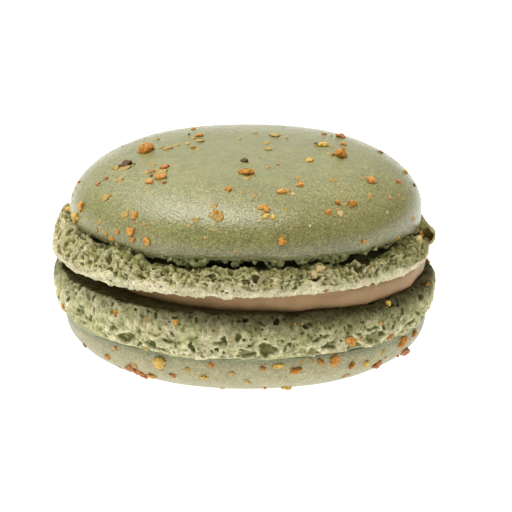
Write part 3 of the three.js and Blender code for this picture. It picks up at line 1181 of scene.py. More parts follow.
def crumbly(surface, outward, torn, band, seed):
    """Torn crumb and smooth foam. Where it is torn, the surface is raised and lowered along the normal by
    rough noise and by fine round lumps. Balls of three sizes are carved at full size in the torn crumb,
    and smaller in the band. Returns the raised height and the carved depth."""
    crooked = crumpled(surface, strength=0.25, size=1.0, seed=seed)
    raised = (
        TORN_CRUMB["waves"] * soft_noise(crooked, size=2.4, seed=seed + 10)
        + TORN_CRUMB["roughness"] * rough_noise(crooked, size=1.3, layers=4, seed=seed + 20)
        + TORN_CRUMB["lumps"] * billows(crooked, size=0.95, layers=2, seed=seed + 30)
    )
    raised = (raised - TORN_CRUMB["back"]) * torn
    surface = surface + outward * raised[..., None]
    bent = crumpled(surface, strength=0.30, size=0.8, seed=seed + 40)
    room = {name: torn + size * band for name, size in BAND_BUBBLES.items()}
    big = way_out(bent, -outward, **BIG_BUBBLES, seed=seed + 70, room=room["big"])
    middle = way_out(bent, -outward, **MIDDLE_BUBBLES, seed=seed + 50, room=room["middle"])
    small = way_out(bent, -outward, **SMALL_BUBBLES, seed=seed + 80, room=room["small"])
    deepest = np.maximum.reduce([softened(big, knee=0.22), softened(middle, knee=0.12), small])
    return raised, held_under(UPPER_DEEPEST, deepest)


# Heights and sizes of the waves of the upper foam, and of the limit between its torn crumb and its band.
UPPER_WAVES = [(0.14, 2.4), (0.06, 0.9)]
BAND_WAVES = 0.4  # how much of its waves the band has
LIMIT_WAVES = (0.12, 1.8)
LIMIT_FINE_WAVES = (0.07, 0.6)
# The shares over which the torn crumb begins and ends, and the band begins.
TORN_START = (-0.15, 0.0)
TORN_END = (0.58, 0.40)
BAND_START = (0.3, 0.5)
# Its upper edge: how high it is torn and how far it lies lower, the stretch of its noise, how much of the
# skirt's drop it follows, and the shares over which that begins and ends.
UPPER_EDGE = {"torn": 0.54, "lower": 0.30, "stretch": (1, 1, 0.3), "drop": 0.5}
EDGE_MOVED = ((-0.25, -0.05), (0.05, 0.35))
CALMED = 0.85  # how much smoother it is behind the bubble
# Painted shade under the skirt: its strength, the shares over which it fades, and the heights over which a
# heap stands out of the crack's painted black and of the painted shade.
UPPER_SHADE = {"most": 0.85, "shares": (0.40, 0.08), "crack": (1.2, 0.6), "heap": (1.6, 0.4)}
DUSK_REACH = 45  # degrees
# Hollows get painted shade, in full at this depth.
UPPER_HOLLOW_SHADE_DEPTH = 0.36  # as deep as a hollow is fully dark


def upper_foam(foot):
    """Foam of the upper foot: torn crumb above and a smoother band below, with a wandering limit between
    them, an upper edge that is torn lower here and there and follows half of the skirt's drop, and
    bell-shaped dents. It is smoother behind the burst bubble."""
    points, share, bearing, seen = ruffled_foot(foot)
    dents = sum(
        depth * bell(turn_from(bearing, middle) / half, (points[..., 2] - height) / tall)
        for middle, half, height, tall, depth in FOOT_DENTS
    )
    points = points - turned(dents * seen, bearing, 0 * dents)
    outward = grid_outward(points)
    wander = layered_noise(points, [LIMIT_WAVES], seed=400)
    wander = wander + layered_noise(points, [LIMIT_FINE_WAVES], seed=404)
    torn = smooth_between(*TORN_END, share + wander) * smooth_between(*TORN_START, share)
    band = (1 - torn) * smooth_between(*BAND_START, share) * seen
    heap = sum(high * around(bearing, middle, half) for middle, half, high in FOOT_HEAPS)
    ragged = UPPER_EDGE["torn"] * rough_noise(points * UPPER_EDGE["stretch"], size=1.7, layers=4, seed=405)
    ragged = ragged - UPPER_EDGE["lower"]
    drop = UPPER_EDGE["drop"] * skirt_drop(UPPER_SKIRT, bearing, points[..., 0])
    points[..., 2] += (heap + ragged - drop) * within(share, *EDGE_MOVED)
    waves = layered_noise(points, UPPER_WAVES, seed=401) * (BAND_WAVES + (1 - BAND_WAVES) * torn)
    surface = points + outward * (waves * seen)[..., None]
    raised, carved = crumbly(surface, outward, torn, band, seed=410)
    calm = 1 - CALMED * around(bearing, *BEHIND_BUBBLE)
    raised, carved = raised * calm, carved * calm
    relief = waves + raised - carved
    points = crumpled(points + outward * (relief * seen)[..., None], strength=0.05, size=0.45, seed=480)
    most = UPPER_SHADE["most"]
    crack = most * (smooth_between(*CRACK_SHARES, share) * smooth_between(*UPPER_SHADE["crack"], heap))
    shaded = most * smooth_between(*UPPER_SHADE["shares"], share + 0.5 * wander)
    shaded = shaded * smooth_between(*UPPER_SHADE["heap"], heap)
    dusk = most * smooth_between(DUSK_REACH, 0, np.abs(turn_from(bearing, DUSKY_SIDE))) * (1 - band)
    hollow = carved / UPPER_HOLLOW_SHADE_DEPTH
    fields = foam_fields(relief, hollow, share, band=band, shaded=np.maximum(shaded, dusk), crack=crack)
    return points, fields


UPPER_FOAM = {
    "base": (0.36, 0.315, 0.130, 1),
    "ridge": (0.62, 0.540, 0.35, 1),
    "pale": (0.74, 0.655, 0.47, 1),
    # Painted shade, darker and greener, for its hollows; near black painted shade for pinholes and the crack.
    "hollow": (0.130, 0.120, 0.034, 1),
    "deep": (0.012, 0.012, 0.003, 1),
    "soaked_and_shaded_strength": 0.0,
}

upper_foot = foot_piece("upper_foot", *upper_foam(UPPER_FOOT), set_upper)
upper_foot.data.materials.append(foam_material("upper_foam", **UPPER_FOAM))
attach(upper_foot, "root")
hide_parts("upper_shell")

# ---------------------------------------------------------------------------------------------
# The burst bubble: a big bubble of foam on the right of the upper foot, which burst and left a
# cup that opens to the front. Its wall is thin, with a torn edge, and ochre inside, partly its colour
# and partly painted shade.

CUP = {
    "place": (21.5, -3.0, 2.5),
    "heading": (-0.30, -0.90, 0.20),
    "radii": (1.0, 1.0, 1.2),
    "wall": 0.2,  # a share of the radii
    "opening": math.radians(66),
    "torn": 0.22,  # how far the opening's edge wanders, as a share of it
    "rough": 0.10,  # height of its wall's waves, and of the finer ones
    "fine": 0.05,
    "ochre": 0.55,  # how strong the shade inside is
    "ochre_from": 0.4,  # the part of the wall's thickness from which it begins
}
CUP_COLUMNS = 96
CUP_ROWS = 26  # on each side of its wall
CUP_START = 0.06  # the first row's share of the way from the pole to the edge
LIP_ROWS = 5
LIP_BULGE = 0.10


def cup_surface(cup):
    """Rows round the axis of a spheroid, from its pole at the back over the outside to the edge of the
    opening, round the edge and back over the inside, whose size is one less the wall. The edge wanders by
    a noise of the turn, and the wall by noise along the normal."""
    turn = np.arange(CUP_COLUMNS)[None, :] / CUP_COLUMNS * 2 * math.pi
    torn_edge = 1 + cup["torn"] * soft_noise(turned(1.0, turn, 0 * turn), size=0.9, seed=470)
    edge = math.pi - cup["opening"] * torn_edge
    along = np.linspace(CUP_START, 1, CUP_ROWS)[:, None]
    rounding = np.linspace(0, math.pi, LIP_ROWS + 2)[1:-1, None]
    polar = np.concatenate([along * edge, edge + LIP_BULGE * np.sin(rounding), along[::-1] * edge])
    lip = 1 - cup["wall"] * (1 - np.cos(rounding)) / 2
    size = np.concatenate([1 + 0 * along, lip, 1 - cup["wall"] + 0 * along]) + 0 * polar
    back = -np.array(cup["heading"]) / np.linalg.norm(cup["heading"])
    first = np.cross((0, 0, 1), back)
    first /= np.linalg.norm(first)
    round_axis = np.cos(turn)[..., None] * first + np.sin(turn)[..., None] * np.cross(back, first)
    way = np.cos(polar)[..., None] * back + np.sin(polar)[..., None] * round_axis
    points = way * cup["radii"] * size[..., None] + cup["place"]
    rough = cup["rough"] * soft_noise(points, size=1.1, seed=471)
    rough = rough + cup["fine"] * rough_noise(points, size=0.5, layers=3, seed=472)
    inside = smooth_between(1 - cup["ochre_from"] * cup["wall"], 1 - cup["wall"], size)
    points = points + way * rough[..., None]
    return points, foam_fields(rough, cup["ochre"] * inside, 0 * rough)


BUBBLE_FOAM = {
    "base": (0.34, 0.290, 0.135, 1),
    "ridge": (0.50, 0.430, 0.23, 1),
    "pale": (0.50, 0.430, 0.23, 1),
    "hollow": (0.24, 0.165, 0.045, 1),
    "deep": (0.060, 0.040, 0.010, 1),
    "soaked_and_shaded_strength": 0.0,
}

burst_bubble = foot_piece("burst_bubble", *cup_surface(CUP), set_upper)
burst_bubble.data.materials.append(foam_material("bubble_foam", **BUBBLE_FOAM))
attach(burst_bubble, "root")
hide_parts("upper_shell")

# ---------------------------------------------------------------------------------------------
# The hanging crumb: foam that stayed on the skirt's underside where the shell tore away from its
# foot. It hangs down a different way at each bearing, and leaves the crack open or bridges it.

HANGING_CRUMB = {
    "middle": 19.85,
    "wide": 0.62,
    "least": 0.12,  # how far it hangs
    "most": 1.25,
    "above": 0.1,  # how far below the skirt's edge it starts
    "sunk": 0.25,  # how far it reaches up into the skirt
    "usual": 0.6,  # how much of the way from the least to the most it usually hangs, and how that varies
    "varied": 0.9,
    "raised": 1.1,  # how rough it is, as a share of the torn crumb's roughness
    # A hollow gets painted shade, in full at this depth.
    "shade_depth": 0.4,  # as deep as a hollow is fully dark
    "rows": 26,
}
HANGING_INNER = (1.0, 2.0)  # how far inside its rows its two hidden rings lie at each end
FRONT = -90
# Turns from the front, in degrees, between which it thins out, and what is then missing of it.
THIN_LEFT = (-20, -32)
THIN_RIGHT = (22, 38)
MISSING_LEFT = 0.85
MISSING_RIGHT = 0.5


def hanging_crumb_surface():
    """A lip of crumb under the skirt: rows round a half oval as wide as given and as tall as it hangs, which
    is the least plus the rest times a noise of the bearing, and then inwards. It follows the skirt's drop."""
    turn = np.linspace(1, -1, HANGING_CRUMB["rows"])[:, None] * math.pi / 2
    bearing = np.arange(FOOT_COLUMNS)[None, :] / FOOT_COLUMNS * 2 * math.pi
    ring = turned(20.0, bearing, 0 * bearing)
    varied = HANGING_CRUMB["varied"] * rough_noise(ring, size=1.7, layers=4, seed=450)
    chance = np.clip(HANGING_CRUMB["usual"] + varied, 0, 1)
    from_front = turn_from(bearing, FRONT)
    chance = chance * (1 - MISSING_LEFT * smooth_between(*THIN_LEFT, from_front))
    chance = chance * (1 - MISSING_RIGHT * smooth_between(*THIN_RIGHT, from_front))
    hang = HANGING_CRUMB["least"] + (HANGING_CRUMB["most"] - HANGING_CRUMB["least"]) * chance
    radius = HANGING_CRUMB["middle"] + HANGING_CRUMB["wide"] * np.cos(turn) + 0 * bearing
    top = UPPER_SKIRT["edge"] - HANGING_CRUMB["above"]
    height = top + np.where(turn > 0, HANGING_CRUMB["sunk"], hang) * np.sin(turn)
    inner = np.array(HANGING_INNER)[:, None]
    radius = np.concatenate([radius[:1] - inner[::-1], radius, radius[-1:] - inner])
    height = np.concatenate([height[:1] + 0 * inner, height, height[-1:] + 0 * inner])
    points = turned(radius, bearing + 0 * radius, height)
    points[..., 2] -= skirt_drop(UPPER_SKIRT, bearing, points[..., 0])
    outward = grid_outward(points)
    seen = np.zeros(radius.shape)
    seen[2:-2] = 1
    raised, carved = crumbly(points, outward, seen, 0 * seen, seed=460)
    relief = HANGING_CRUMB["raised"] * raised - carved
    points = crumpled(points + outward * (relief * seen)[..., None], strength=0.05, size=0.45, seed=490)
    return points, foam_fields(relief, carved / HANGING_CRUMB["shade_depth"], 0 * seen)


# Darker than the foot's foam, as its colours hold painted shade under the skirt.
SHADED_HANGING_FOAM = {
    "base": (0.21, 0.220, 0.085, 1),
    "ridge": (0.36, 0.36, 0.17, 1),
    "pale": (0.26, 0.27, 0.12, 1),
    "hollow": (0.030, 0.036, 0.010, 1),
    "deep": (0.005, 0.006, 0.002, 1),
    "soaked_and_shaded_strength": 0.0,
}

hanging_crumb = foot_piece("hanging_crumb", *hanging_crumb_surface(), set_upper)
hanging_crumb.data.materials.append(foam_material("shaded_hanging_foam", **SHADED_HANGING_FOAM))
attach(hanging_crumb, "root")
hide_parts("upper_shell")

# ---------------------------------------------------------------------------------------------
# The upper dome: the smooth skin of the upper shell. It is satin and faintly grainy, and ends in
# a ragged skirt that broke away from the foot below and leaves a dark crack.

UPPER_DOME = {
    "radius": 20.9,
    "widest": 5.65,
    "crown": 13.4,
    "crown_power": 2.75,
    "shoulder_power": 1.95,
}
UPPER_SKIN = {
    "base": (0.214, 0.213, 0.074, 1),
    "warm": (0.234, 0.214, 0.074, 1),
    "skirt": (0.24, 0.24, 0.112, 1),
    "roughness": 0.22,
    "specular": 0.60,
    "powder": 1.0,
}

upper_dome = dome_piece("upper_dome", *dome_surface(UPPER_DOME, UPPER_SKIRT, 500), set_upper)
upper_dome.data.materials.append(skin_material("upper_skin", **UPPER_SKIN))
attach(upper_dome, "root")
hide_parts("upper_shell")

# ---------------------------------------------------------------------------------------------
# The crumbs: crushed crumbs of candied peel and biscuit, strewn on the shells while their skin was
# wet, so that they sank in a little. Each kind of lump is a piece of its own, and so are the thin
# flakes. Those on the front are set by the pixel where each is seen, and the rest by chance.

MM_PER_PIXEL = 1 / (PIXELS_PER_METRE * MM)
SEEN_MIDDLE = (246, 260)  # the macaron's middle in the image, in pixels

# Each crumb is its place across and down the image, and how wide and high it is seen, in pixels.
AMBER_SEEN = [
    (147.5, 150.5, 16, 9), (245.5, 173, 15, 8), (340, 155, 13, 10), (229, 190, 7, 4.5),
    (352.5, 204.5, 7, 6), (337.5, 202.5, 5, 5), (427, 261, 5, 5), (427, 284, 4, 5), (414, 333, 6, 6),
    (352, 365, 7, 12), (321, 362, 6, 5), (296, 371, 12, 7), (64, 307, 5, 8), (164.5, 182.5, 4, 3),
    (263, 368, 6, 5), (193.5, 148, 6, 3), (278, 164.5, 3, 4), (116, 313, 5, 5), (216, 213.5, 6, 5),
]
ORANGE_SEEN = [
    (283, 242, 9, 9), (131, 231.3, 11, 7.5), (148, 241.5, 7, 11), (343.5, 144.5, 6, 6),
    (160, 178, 14, 6), (149.5, 182, 7, 5), (135.5, 216, 6, 6), (117.7, 232, 4, 5.5),
    (111.8, 238.5, 5, 6), (81.8, 206, 8, 8), (300, 184.5, 7, 6), (281, 192, 9, 5),
    (263.5, 207.5, 12, 5), (266, 210, 6, 6), (372.7, 181.4, 11, 5), (364, 241.8, 6, 4),
    (234, 252, 4, 3), (420.5, 234, 6, 8), (200.5, 136, 7, 4), (193.5, 129, 5, 2.5), (350, 341, 12, 8),
    (380, 323, 4, 4), (176, 322, 5, 6), (335, 360, 10, 10), (403, 341, 9, 9), (211, 365, 5, 5),
    (108, 357, 6, 10), (115, 348, 4, 6), (152, 375, 7, 5), (132.7, 240, 5, 6), (328, 212, 6, 5),
]
YELLOW_SEEN = [
    (76.4, 218.0, 9, 9), (69.5, 209.5, 8, 7), (407.3, 171, 5, 6), (187.5, 144, 4, 6),
    (273, 217.5, 5, 6), (266, 216.5, 7, 5), (322.5, 145.5, 9, 5), (309.5, 160.5, 8, 4),
    (388, 303, 6, 5), (366, 363, 6, 6), (278, 366, 12, 4), (204, 377, 9, 4), (160, 362, 12, 13),
    (286, 387, 10, 4), (398, 238, 3, 3), (368, 270, 3, 3),
]
STRAW_SEEN = [
    (418.5, 240, 9, 9), (426.8, 241.0, 10, 10), (413.6, 218.5, 4, 8), (340.5, 214.5, 7, 6),
    (320.5, 270, 13, 8), (314.5, 275.5, 7, 7), (328, 154, 3, 3), (259.5, 221, 4, 3), (387, 212.5, 3, 3),
    (310, 226, 3, 3), (369, 269.5, 4, 4), (274, 286, 5, 3), (205.5, 237.5, 3, 3), (293, 194, 4, 3),
    (117, 244, 4, 3),
]
RUSSET_SEEN = [
    (341, 137, 11, 4), (165, 167.5, 9, 4.5), (151, 171.5, 7, 3), (399, 182, 5, 6), (98, 184, 4, 4),
    (106.5, 178.6, 5, 3), (404, 351, 16, 5), (131, 367.5, 9, 5), (138, 371.5, 9, 5), (144, 375, 7, 4),
    (85, 345, 5, 7), (389, 335, 7, 7), (77.3, 181.4, 3, 3), (381, 152.3, 5, 2), (265, 390, 4, 3),
    (377, 364, 9, 5), (326, 291, 4, 3), (323.5, 134, 4, 2), (173, 375, 5, 4),
]
PLUM_SEEN = [
    (126, 165, 10, 5), (244.5, 161, 7, 5), (316, 144.5, 4, 2.5), (189.5, 134.5, 2.5, 2),
    (414, 185, 3, 3), (151.5, 176, 3, 2),
]
FLAKES_SEEN = [
    (274.5, 135.5, 14, 4), (269, 149, 9, 4.5), (265.5, 143, 8, 2.5), (239.5, 139, 5, 3),
    (255, 132.5, 6, 2), (258.5, 157, 4, 2), (254.5, 170, 4, 3), (246.5, 178.5, 8, 3),
    (241.5, 192, 5, 3), (253.5, 196, 7, 3), (268, 168, 5, 3), (298, 178, 6, 4), (288, 190.5, 6, 4),
    (292, 194, 6, 3), (333.5, 180.5, 7, 4), (363.5, 178.8, 6, 2), (344, 204, 9, 3), (338.5, 210, 5, 3),
    (331, 146.5, 5, 2), (160, 147.5, 5, 3), (167, 148.5, 7, 4), (176, 145, 6, 2.5), (157, 139.5, 5, 2),
    (192.5, 138.5, 6, 2), (200, 141, 10, 2.5), (199, 149.5, 5, 2), (116.5, 167.5, 9, 4),
    (125, 168.5, 10, 3), (120, 180, 7, 4), (105, 198.8, 8, 5), (146, 173, 5, 6), (161, 172.5, 14, 5),
    (152.5, 165, 5, 3), (145, 190.5, 3, 2), (124, 214.5, 8, 6), (144.3, 224.3, 4, 4), (99.3, 222, 5, 6),
    (105.5, 232.6, 6, 5), (96, 230, 5, 6), (80.9, 221.8, 3, 5), (87.7, 219, 3, 5), (214, 206, 6, 5),
    (219, 217.5, 12, 13), (196, 220, 6, 6), (210.5, 215.5, 5, 3), (189.5, 225.5, 3, 3),
    (262, 214, 4, 4), (285.5, 209.5, 5, 4), (371, 196, 6, 4), (390.5, 198, 5, 5), (399, 195.5, 4, 4),
    (402.3, 199, 3, 4), (347.3, 189.5, 3, 3), (197, 247, 4, 3), (207, 238, 3, 3), (291.5, 229.5, 3, 3),
    (73.6, 188.2, 3, 4), (72.5, 195, 3, 4), (72.7, 200.9, 2, 3), (122, 146.5, 3, 2), (144, 138.5, 3, 2),
    (145, 320, 4, 4), (295, 324, 3, 3), (302, 324, 3, 3), (311, 361, 5, 6), (145, 349, 5, 4),
    (134, 365, 6, 4), (118, 368, 5, 5), (188, 370, 6, 4), (232, 374, 7, 4), (247, 381, 6, 3),
    (301, 362, 4, 4), (383, 352, 5, 5), (345, 376, 7, 4), (222, 388, 6, 2),
]


def sight_line(across, down):
    """The direction in which the camera sees a pixel, counted from the image's top left corner."""
    right = (across - IMAGE_SIDE / 2) / PIXELS_PER_METRE
    up = (IMAGE_SIDE / 2 - down) / PIXELS_PER_METRE
    return (IMAGE_RIGHT * right + IMAGE_UP * up - TOWARDS_CAMERA * CAMERA_DISTANCE).normalized()


bpy.context.view_layer.update()
scene_now = bpy.context.evaluated_depsgraph_get()
shell_pieces = (upper_dome, upper_foot, burst_bubble, lower_dome, lower_foot)
carriers = [BVHTree.FromObject(piece, scene_now) for piece in shell_pieces]

WAY_STRETCH = Vector((1, 1, 1.5))  # makes the way from the macaron's middle steeper


def first_met(start, heading):
    """Where a line first meets a shell, with the way out of the surface there, or None where it passes by.
    The way out is the face's normal, evened out by half of the way from the macaron's middle."""
    hits = [tree.ray_cast(start, heading) for tree in carriers]
    hits = [hit for hit in hits if hit[0] is not None]
    if not hits:
        return None
    place, normal, _, _ = min(hits, key=lambda hit: hit[3])
    from_middle = (place - aim) * WAY_STRETCH
    return place, (normal + 0.5 * from_middle.normalized()).normalized()


STEPS_TO_MIDDLE = 12  # tries, each a hundredth of the way nearer to the middle
SUNK_PART = 0.4
DEPTH_LIMITS = (0.5, 1.3)  # of the width
WIDTH_LIMIT = 1.35  # of the width that is seen


def seats_seen(crumbs, flatness):
    """Seats of crumbs on the front: each lies where the sight line of its pixel meets a shell, moved towards
    the macaron's middle by hundredths of the way where it passes by. A lump as thick as its flatness times
    its depth d looks as high as the root of ((d cos a)^2 + (flatness d sin a)^2) at the angle a between
    the sight line and the way out. That gives its depth, within limits, with up to 1.4 times as much for
    the part that is sunk in. Its width is found likewise, up to a limit. A seat is its place, way out,
    level side, wide and deep."""
    seats = []
    for across, down, wide, high in crumbs:
        for step in range(STEPS_TO_MIDDLE):
            share = step / 100
            nearer = (across + share * (SEEN_MIDDLE[0] - across), down + share * (SEEN_MIDDLE[1] - down))
            line = sight_line(*nearer)
            met = first_met(camera_place, line)
            if met:
                break
        if not met:
            continue
        place, out = met
        facing = abs(line.dot(out))
        deep = high * (1 + SUNK_PART - SUNK_PART * facing)
        deep = deep / math.sqrt(facing**2 + flatness**2 * (1 - facing**2))
        deep = min(max(deep, DEPTH_LIMITS[0] * wide), DEPTH_LIMITS[1] * wide)
        side = IMAGE_UP.cross(out).normalized()
        level = side.dot(IMAGE_RIGHT)
        wide = min(wide / math.sqrt(level**2 + flatness**2 * (1 - level**2)), WIDTH_LIMIT * wide)
        seats.append((place, out, side, wide * MM_PER_PIXEL, deep * MM_PER_PIXEL))
    return seats


LINE_START = 40.0  # from the macaron's middle to where a line onto its hidden side starts
HIDDEN_BEARINGS = (-0.05, 1.05)  # in half turns from the right round the back
UPPER_SLOPES = (0.30, 1.15)  # how far lines onto the upper shell rise, in radians
LOWER_SLOPES = (0.35, 0.75)  # how far lines onto the lower shell fall
HIDDEN_DEPTHS = (0.6, 1.1)  # of the width
HIDDEN_FROM = -0.22  # the way out's part towards the camera is less than this


def seats_hidden(count, sizes, chance):
    """Seats by chance on the side that the camera doesn't see: lines towards the macaron's middle from all
    bearings behind it, half of them onto each shell. Small crumbs are more frequent: the width is the
    smallest plus the rest times the cube of a random number."""
    seats = []
    for number in range(count):
        bearing = chance.uniform(*HIDDEN_BEARINGS) * math.pi
        slope = chance.uniform(*UPPER_SLOPES) if number % 2 else -chance.uniform(*LOWER_SLOPES)
        level = math.cos(slope)
        heading = Vector((math.cos(bearing) * level, math.sin(bearing) * level, math.sin(slope)))
        met = first_met(aim + heading * LINE_START * MM, -heading)
        wide = sizes[0] + (sizes[1] - sizes[0]) * chance.uniform() ** 3
        deep = wide * chance.uniform(*HIDDEN_DEPTHS)
        side = Vector(chance.normal(size=3))
        if met and met[1].dot(TOWARDS_CAMERA) < HIDDEN_FROM:
            place, out = met
            side = (side - out * side.dot(out)).normalized()
            seats.append((place, out, side, wide, deep))
    return seats


LUMP_ROWS = 9
LUMP_COLUMNS = 14
LUMP_FACETS = 12
FACET_DISTANCES = (0.68, 1.0)
LUMP_ROUGHNESS = 0.24
LUMP_NOISE_SCALES = (1.7, 3.9)  # how many times the noise's size a lump's radius is, in each layer
LUMPS_APART = 9.0  # from one lump to the next in the noise that makes them rough


def broken_lumps(count, sharpness, chance):
    """Unit lumps on a grid of latitude and longitude, with their two poles. Each lump has the six faces of a
    cube and random facets, with a normal n and a distance h. In the direction d its radius is (the sum of
    max(d.n / h, 0)^s)^(-1/s), which is the nearest facet's distance, rounded the more the smaller the
    sharpness s is. Two layers of smooth noise make it rough."""
    polar = np.linspace(0, math.pi, LUMP_ROWS)[:, None]
    turn = np.arange(LUMP_COLUMNS)[None, :] / LUMP_COLUMNS * 2 * math.pi
    directions = turned(np.sin(polar) + 0 * turn, turn + 0 * polar, np.cos(polar) + 0 * turn)
    normals = chance.normal(size=(count, LUMP_FACETS, 3))
    normals /= np.linalg.norm(normals, axis=-1, keepdims=True)
    axes = np.broadcast_to(np.concatenate([np.eye(3), -np.eye(3)]), (count, 6, 3))
    normals = np.concatenate([normals, axes], axis=1)
    distance = chance.uniform(*FACET_DISTANCES, (count, LUMP_FACETS))
    distance = np.concatenate([distance, np.ones((count, 6))], axis=1)
    share = np.einsum("rcx,nfx->nrcf", directions, normals) / distance[:, None, None, :]
    radius = (np.maximum(share, 0) ** sharpness).sum(axis=-1) ** (-1 / sharpness)
    apart = np.arange(count)[:, None, None, None] * LUMPS_APART
    coarse, fine = LUMP_NOISE_SCALES
    rough = soft_noise(directions[None] * coarse + apart, size=1.0, seed=601)
    rough = rough + 0.6 * soft_noise(directions[None] * fine + apart, size=1.0, seed=602)
    return directions[None] * (radius * (1 + LUMP_ROUGHNESS * rough))[..., None]


def lump_faces(count):
    """Quads between the rows of each lump's grid, and triangles round its poles. Of the first and the last
    row, which lie in the poles, only the first point is used."""
    index = np.arange(count * LUMP_ROWS * LUMP_COLUMNS).reshape(count, LUMP_ROWS, LUMP_COLUMNS)
    beside = np.roll(index, -1, axis=2)
    quads = np.stack([index[:, 1:-2], index[:, 2:-1], beside[:, 2:-1], beside[:, 1:-2]], -1)
    north = np.stack([index[:, 1], beside[:, 1], np.broadcast_to(index[:, :1, 0], index[:, 1].shape)], -1)
    south = np.stack([beside[:, -2], index[:, -2], np.broadcast_to(index[:, -1:, 0], index[:, 1].shape)], -1)
    return quads.reshape(-1, 4), np.concatenate([north.reshape(-1, 3), south.reshape(-1, 3)])


GROWN_LUMP = {"across": 0.42, "along": 0.35, "sizes": (0.35, 0.6)}
LOOSE_BIT = {"across": 1.0, "along": 0.9, "sizes": (0.14, 0.28)}
THREE_GROWN_FROM = 0.85  # the widths from which crumbs get three or two lumps grown on, and two bits
TWO_GROWN_FROM = 0.55
TWO_LOOSE_FROM = 0.45
SMALL_LUMP_HEIGHT = 1.5  # how much thicker than its flatness says a small lump is
LOOSE_DROP = 2.0  # the skin lies at most so far below the start of a line down to it


def scattered(seat, scatter, chance):
    """A random shift across and along a seat, by up to shares of its width and depth, and the random share
    of its size that a small lump there has."""
    _, out, side, wide, deep = seat
    shift = side * wide * chance.uniform(-scatter["across"], scatter["across"])
    shift = shift + out.cross(side) * deep * chance.uniform(-scatter["along"], scatter["along"])
    return shift, chance.uniform(*scatter["sizes"])


def grown_lumps(seats, chance):
    """All lumps of the seats: a wide crumb has smaller lumps grown onto it and two bits on the skin beside
    it. A lump is a seat and how much thicker it is than its flatness says."""
    lumps = []
    for seat in seats:
        place, out, side, wide, deep = seat
        lumps.append((*seat, 1.0))
        for _ in range(3 if wide > THREE_GROWN_FROM else 2 if wide > TWO_GROWN_FROM else 0):
            shift, size = scattered(seat, GROWN_LUMP, chance)
            lumps.append((place + shift * MM, out, side, wide * size, deep * size, SMALL_LUMP_HEIGHT))
        for _ in range(2 if wide > TWO_LOOSE_FROM else 0):
            shift, size = scattered(seat, LOOSE_BIT, chance)
            above = place + (shift + out) * MM
            met = first_met(above, -out)
            if met and (met[0] - above).length < LOOSE_DROP * MM:
                lumps.append((met[0], out, side, wide * size, deep * size, SMALL_LUMP_HEIGHT))
    return lumps


TABLE_GAP = 0.01


def crumb_piece(name, seats, flatness, sunk, sharpness, seed):
    """All crumbs of a kind as one mesh. Each lump is broken, stretched to its width, its depth and its
    thickness, and lowered into the skin as far as sunk says. The field tone is a random number for each."""
    chance = np.random.default_rng(seed)
    grown = grown_lumps(seats, chance)
    place, out, side, wide, deep, tall = [np.array(part) for part in zip(*grown)]
    place = (place - (AXIS_X, AXIS_Y, 0)) / MM
    thick = flatness * deep * tall
    size = np.stack([wide, deep, thick], -1)
    lumps = broken_lumps(len(grown), sharpness, chance) * size[:, None, None, :] / 2
    frames = np.stack([side, np.cross(out, side), out], axis=1)
    centre = place + out * (thick * (0.5 - sunk))[:, None]
    points = np.einsum("nrcx,nxk->nrck", lumps, frames) + centre[:, None, None, :]
    points[..., 2] = np.maximum(points[..., 2], TABLE_GAP)
    tone = np.repeat(chance.uniform(size=len(grown)), LUMP_ROWS * LUMP_COLUMNS)
    piece = mesh_piece(name, points.reshape(-1, 3), *lump_faces(len(grown)), {"tone": tone})
    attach(piece, "root")
    return piece


CRUMB_BUMPS = [(0.35, 0.16)]


def crumb_material(name, base, other, dark, pale, roughness):
    """Candied crumb: each between two colours, mottled with dark and pale, which is partly its own colour and
    partly painted shade and glints, rough and slightly glossy.
    """
    material, tree, shader, place = start_material(name, roughness, specular=0.15)
    colour = mixed(tree, field(tree, "tone"), base, other)
    shade = use_group(tree, mottle_group, place, Size=0.5, Edge=0.12)
    colour = mixed(tree, times(tree, shade, 0.8), colour, dark)
    light = use_group(tree, mottle_group, place, Size=0.28, Edge=0.08)
    colour = mixed(tree, times(tree, light, 0.45), colour, pale)
    tree.links.new(colour, shader.inputs["Base Color"])
    bump(tree, shader, place, CRUMB_BUMPS)
    return material


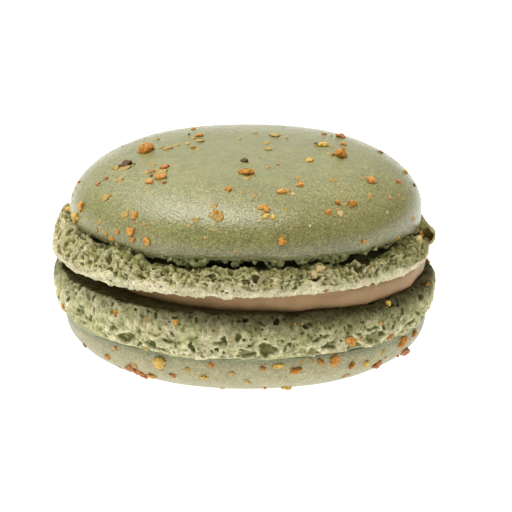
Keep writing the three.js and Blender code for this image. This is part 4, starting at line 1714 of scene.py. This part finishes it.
# Each kind: those that are seen, how many lines look for a hidden one and how wide those are, the shape
# of its lumps, and its finish.
CRUMB_KINDS = {
    "amber_crumbs": {
        "seen": AMBER_SEEN,
        "hidden": (34, (0.4, 1.7)),
        "shape": {"flatness": 0.62, "sunk": 0.36, "sharpness": 5},
        "finish": {
            "base": (0.46, 0.155, 0.006, 1),
            "other": (0.42, 0.18, 0.015, 1),
            "dark": (0.22, 0.065, 0.005, 1),
            "pale": (0.74, 0.42, 0.08, 1),
            "roughness": 0.25,
        },
    },
    "orange_crumbs": {
        "seen": ORANGE_SEEN,
        "hidden": (60, (0.35, 1.3)),
        "shape": {"flatness": 0.60, "sunk": 0.36, "sharpness": 5},
        "finish": {
            "base": (0.66, 0.225, 0.014, 1),
            "other": (0.56, 0.29, 0.050, 1),
            "dark": (0.36, 0.10, 0.008, 1),
            "pale": (0.80, 0.52, 0.16, 1),
            "roughness": 0.35,
        },
    },
    "yellow_crumbs": {
        "seen": YELLOW_SEEN,
        "hidden": (40, (0.35, 1.2)),
        "shape": {"flatness": 0.55, "sunk": 0.36, "sharpness": 5},
        "finish": {
            "base": (0.72, 0.43, 0.04, 1),
            "other": (0.62, 0.38, 0.07, 1),
            "dark": (0.48, 0.26, 0.025, 1),
            "pale": (0.82, 0.64, 0.24, 1),
            "roughness": 0.38,
        },
    },
    "straw_crumbs": {
        "seen": STRAW_SEEN,
        "hidden": (30, (0.3, 1.0)),
        "shape": {"flatness": 0.60, "sunk": 0.40, "sharpness": 4},
        "finish": {
            "base": (0.62, 0.49, 0.20, 1),
            "other": (0.64, 0.46, 0.22, 1),
            "dark": (0.44, 0.29, 0.09, 1),
            "pale": (0.80, 0.69, 0.38, 1),
            "roughness": 0.45,
        },
    },
    "russet_crumbs": {
        "seen": RUSSET_SEEN,
        "hidden": (30, (0.35, 1.3)),
        "shape": {"flatness": 0.50, "sunk": 0.34, "sharpness": 6},
        "finish": {
            "base": (0.54, 0.16, 0.020, 1),
            "other": (0.42, 0.14, 0.05, 1),
            "dark": (0.24, 0.06, 0.014, 1),
            "pale": (0.70, 0.38, 0.16, 1),
            "roughness": 0.35,
        },
    },
    "plum_crumbs": {
        "seen": PLUM_SEEN,
        "hidden": (10, (0.3, 0.9)),
        "shape": {"flatness": 0.50, "sunk": 0.32, "sharpness": 9},
        "finish": {
            "base": (0.07, 0.032, 0.016, 1),
            "other": (0.11, 0.050, 0.024, 1),
            "dark": (0.04, 0.018, 0.010, 1),
            "pale": (0.22, 0.13, 0.07, 1),
            "roughness": 0.5,
        },
    },
    "tan_flakes": {
        "seen": FLAKES_SEEN,
        "hidden": (90, (0.3, 1.3)),
        "shape": {"flatness": 0.15, "sunk": 0.38, "sharpness": 6},
        "finish": {
            "base": (0.42, 0.28, 0.075, 1),
            "other": (0.42, 0.24, 0.05, 1),
            "dark": (0.26, 0.14, 0.03, 1),
            "pale": (0.54, 0.45, 0.18, 1),
            "roughness": 0.5,
        },
    },
}

for number, (name, kind) in enumerate(CRUMB_KINDS.items()):
    seats = seats_seen(kind["seen"], kind["shape"]["flatness"])
    seats += seats_hidden(*kind["hidden"], np.random.default_rng(700 + number))
    piece = crumb_piece(name, seats, **kind["shape"], seed=800 + number)
    piece.data.materials.append(crumb_material(name + "_finish", **kind["finish"]))
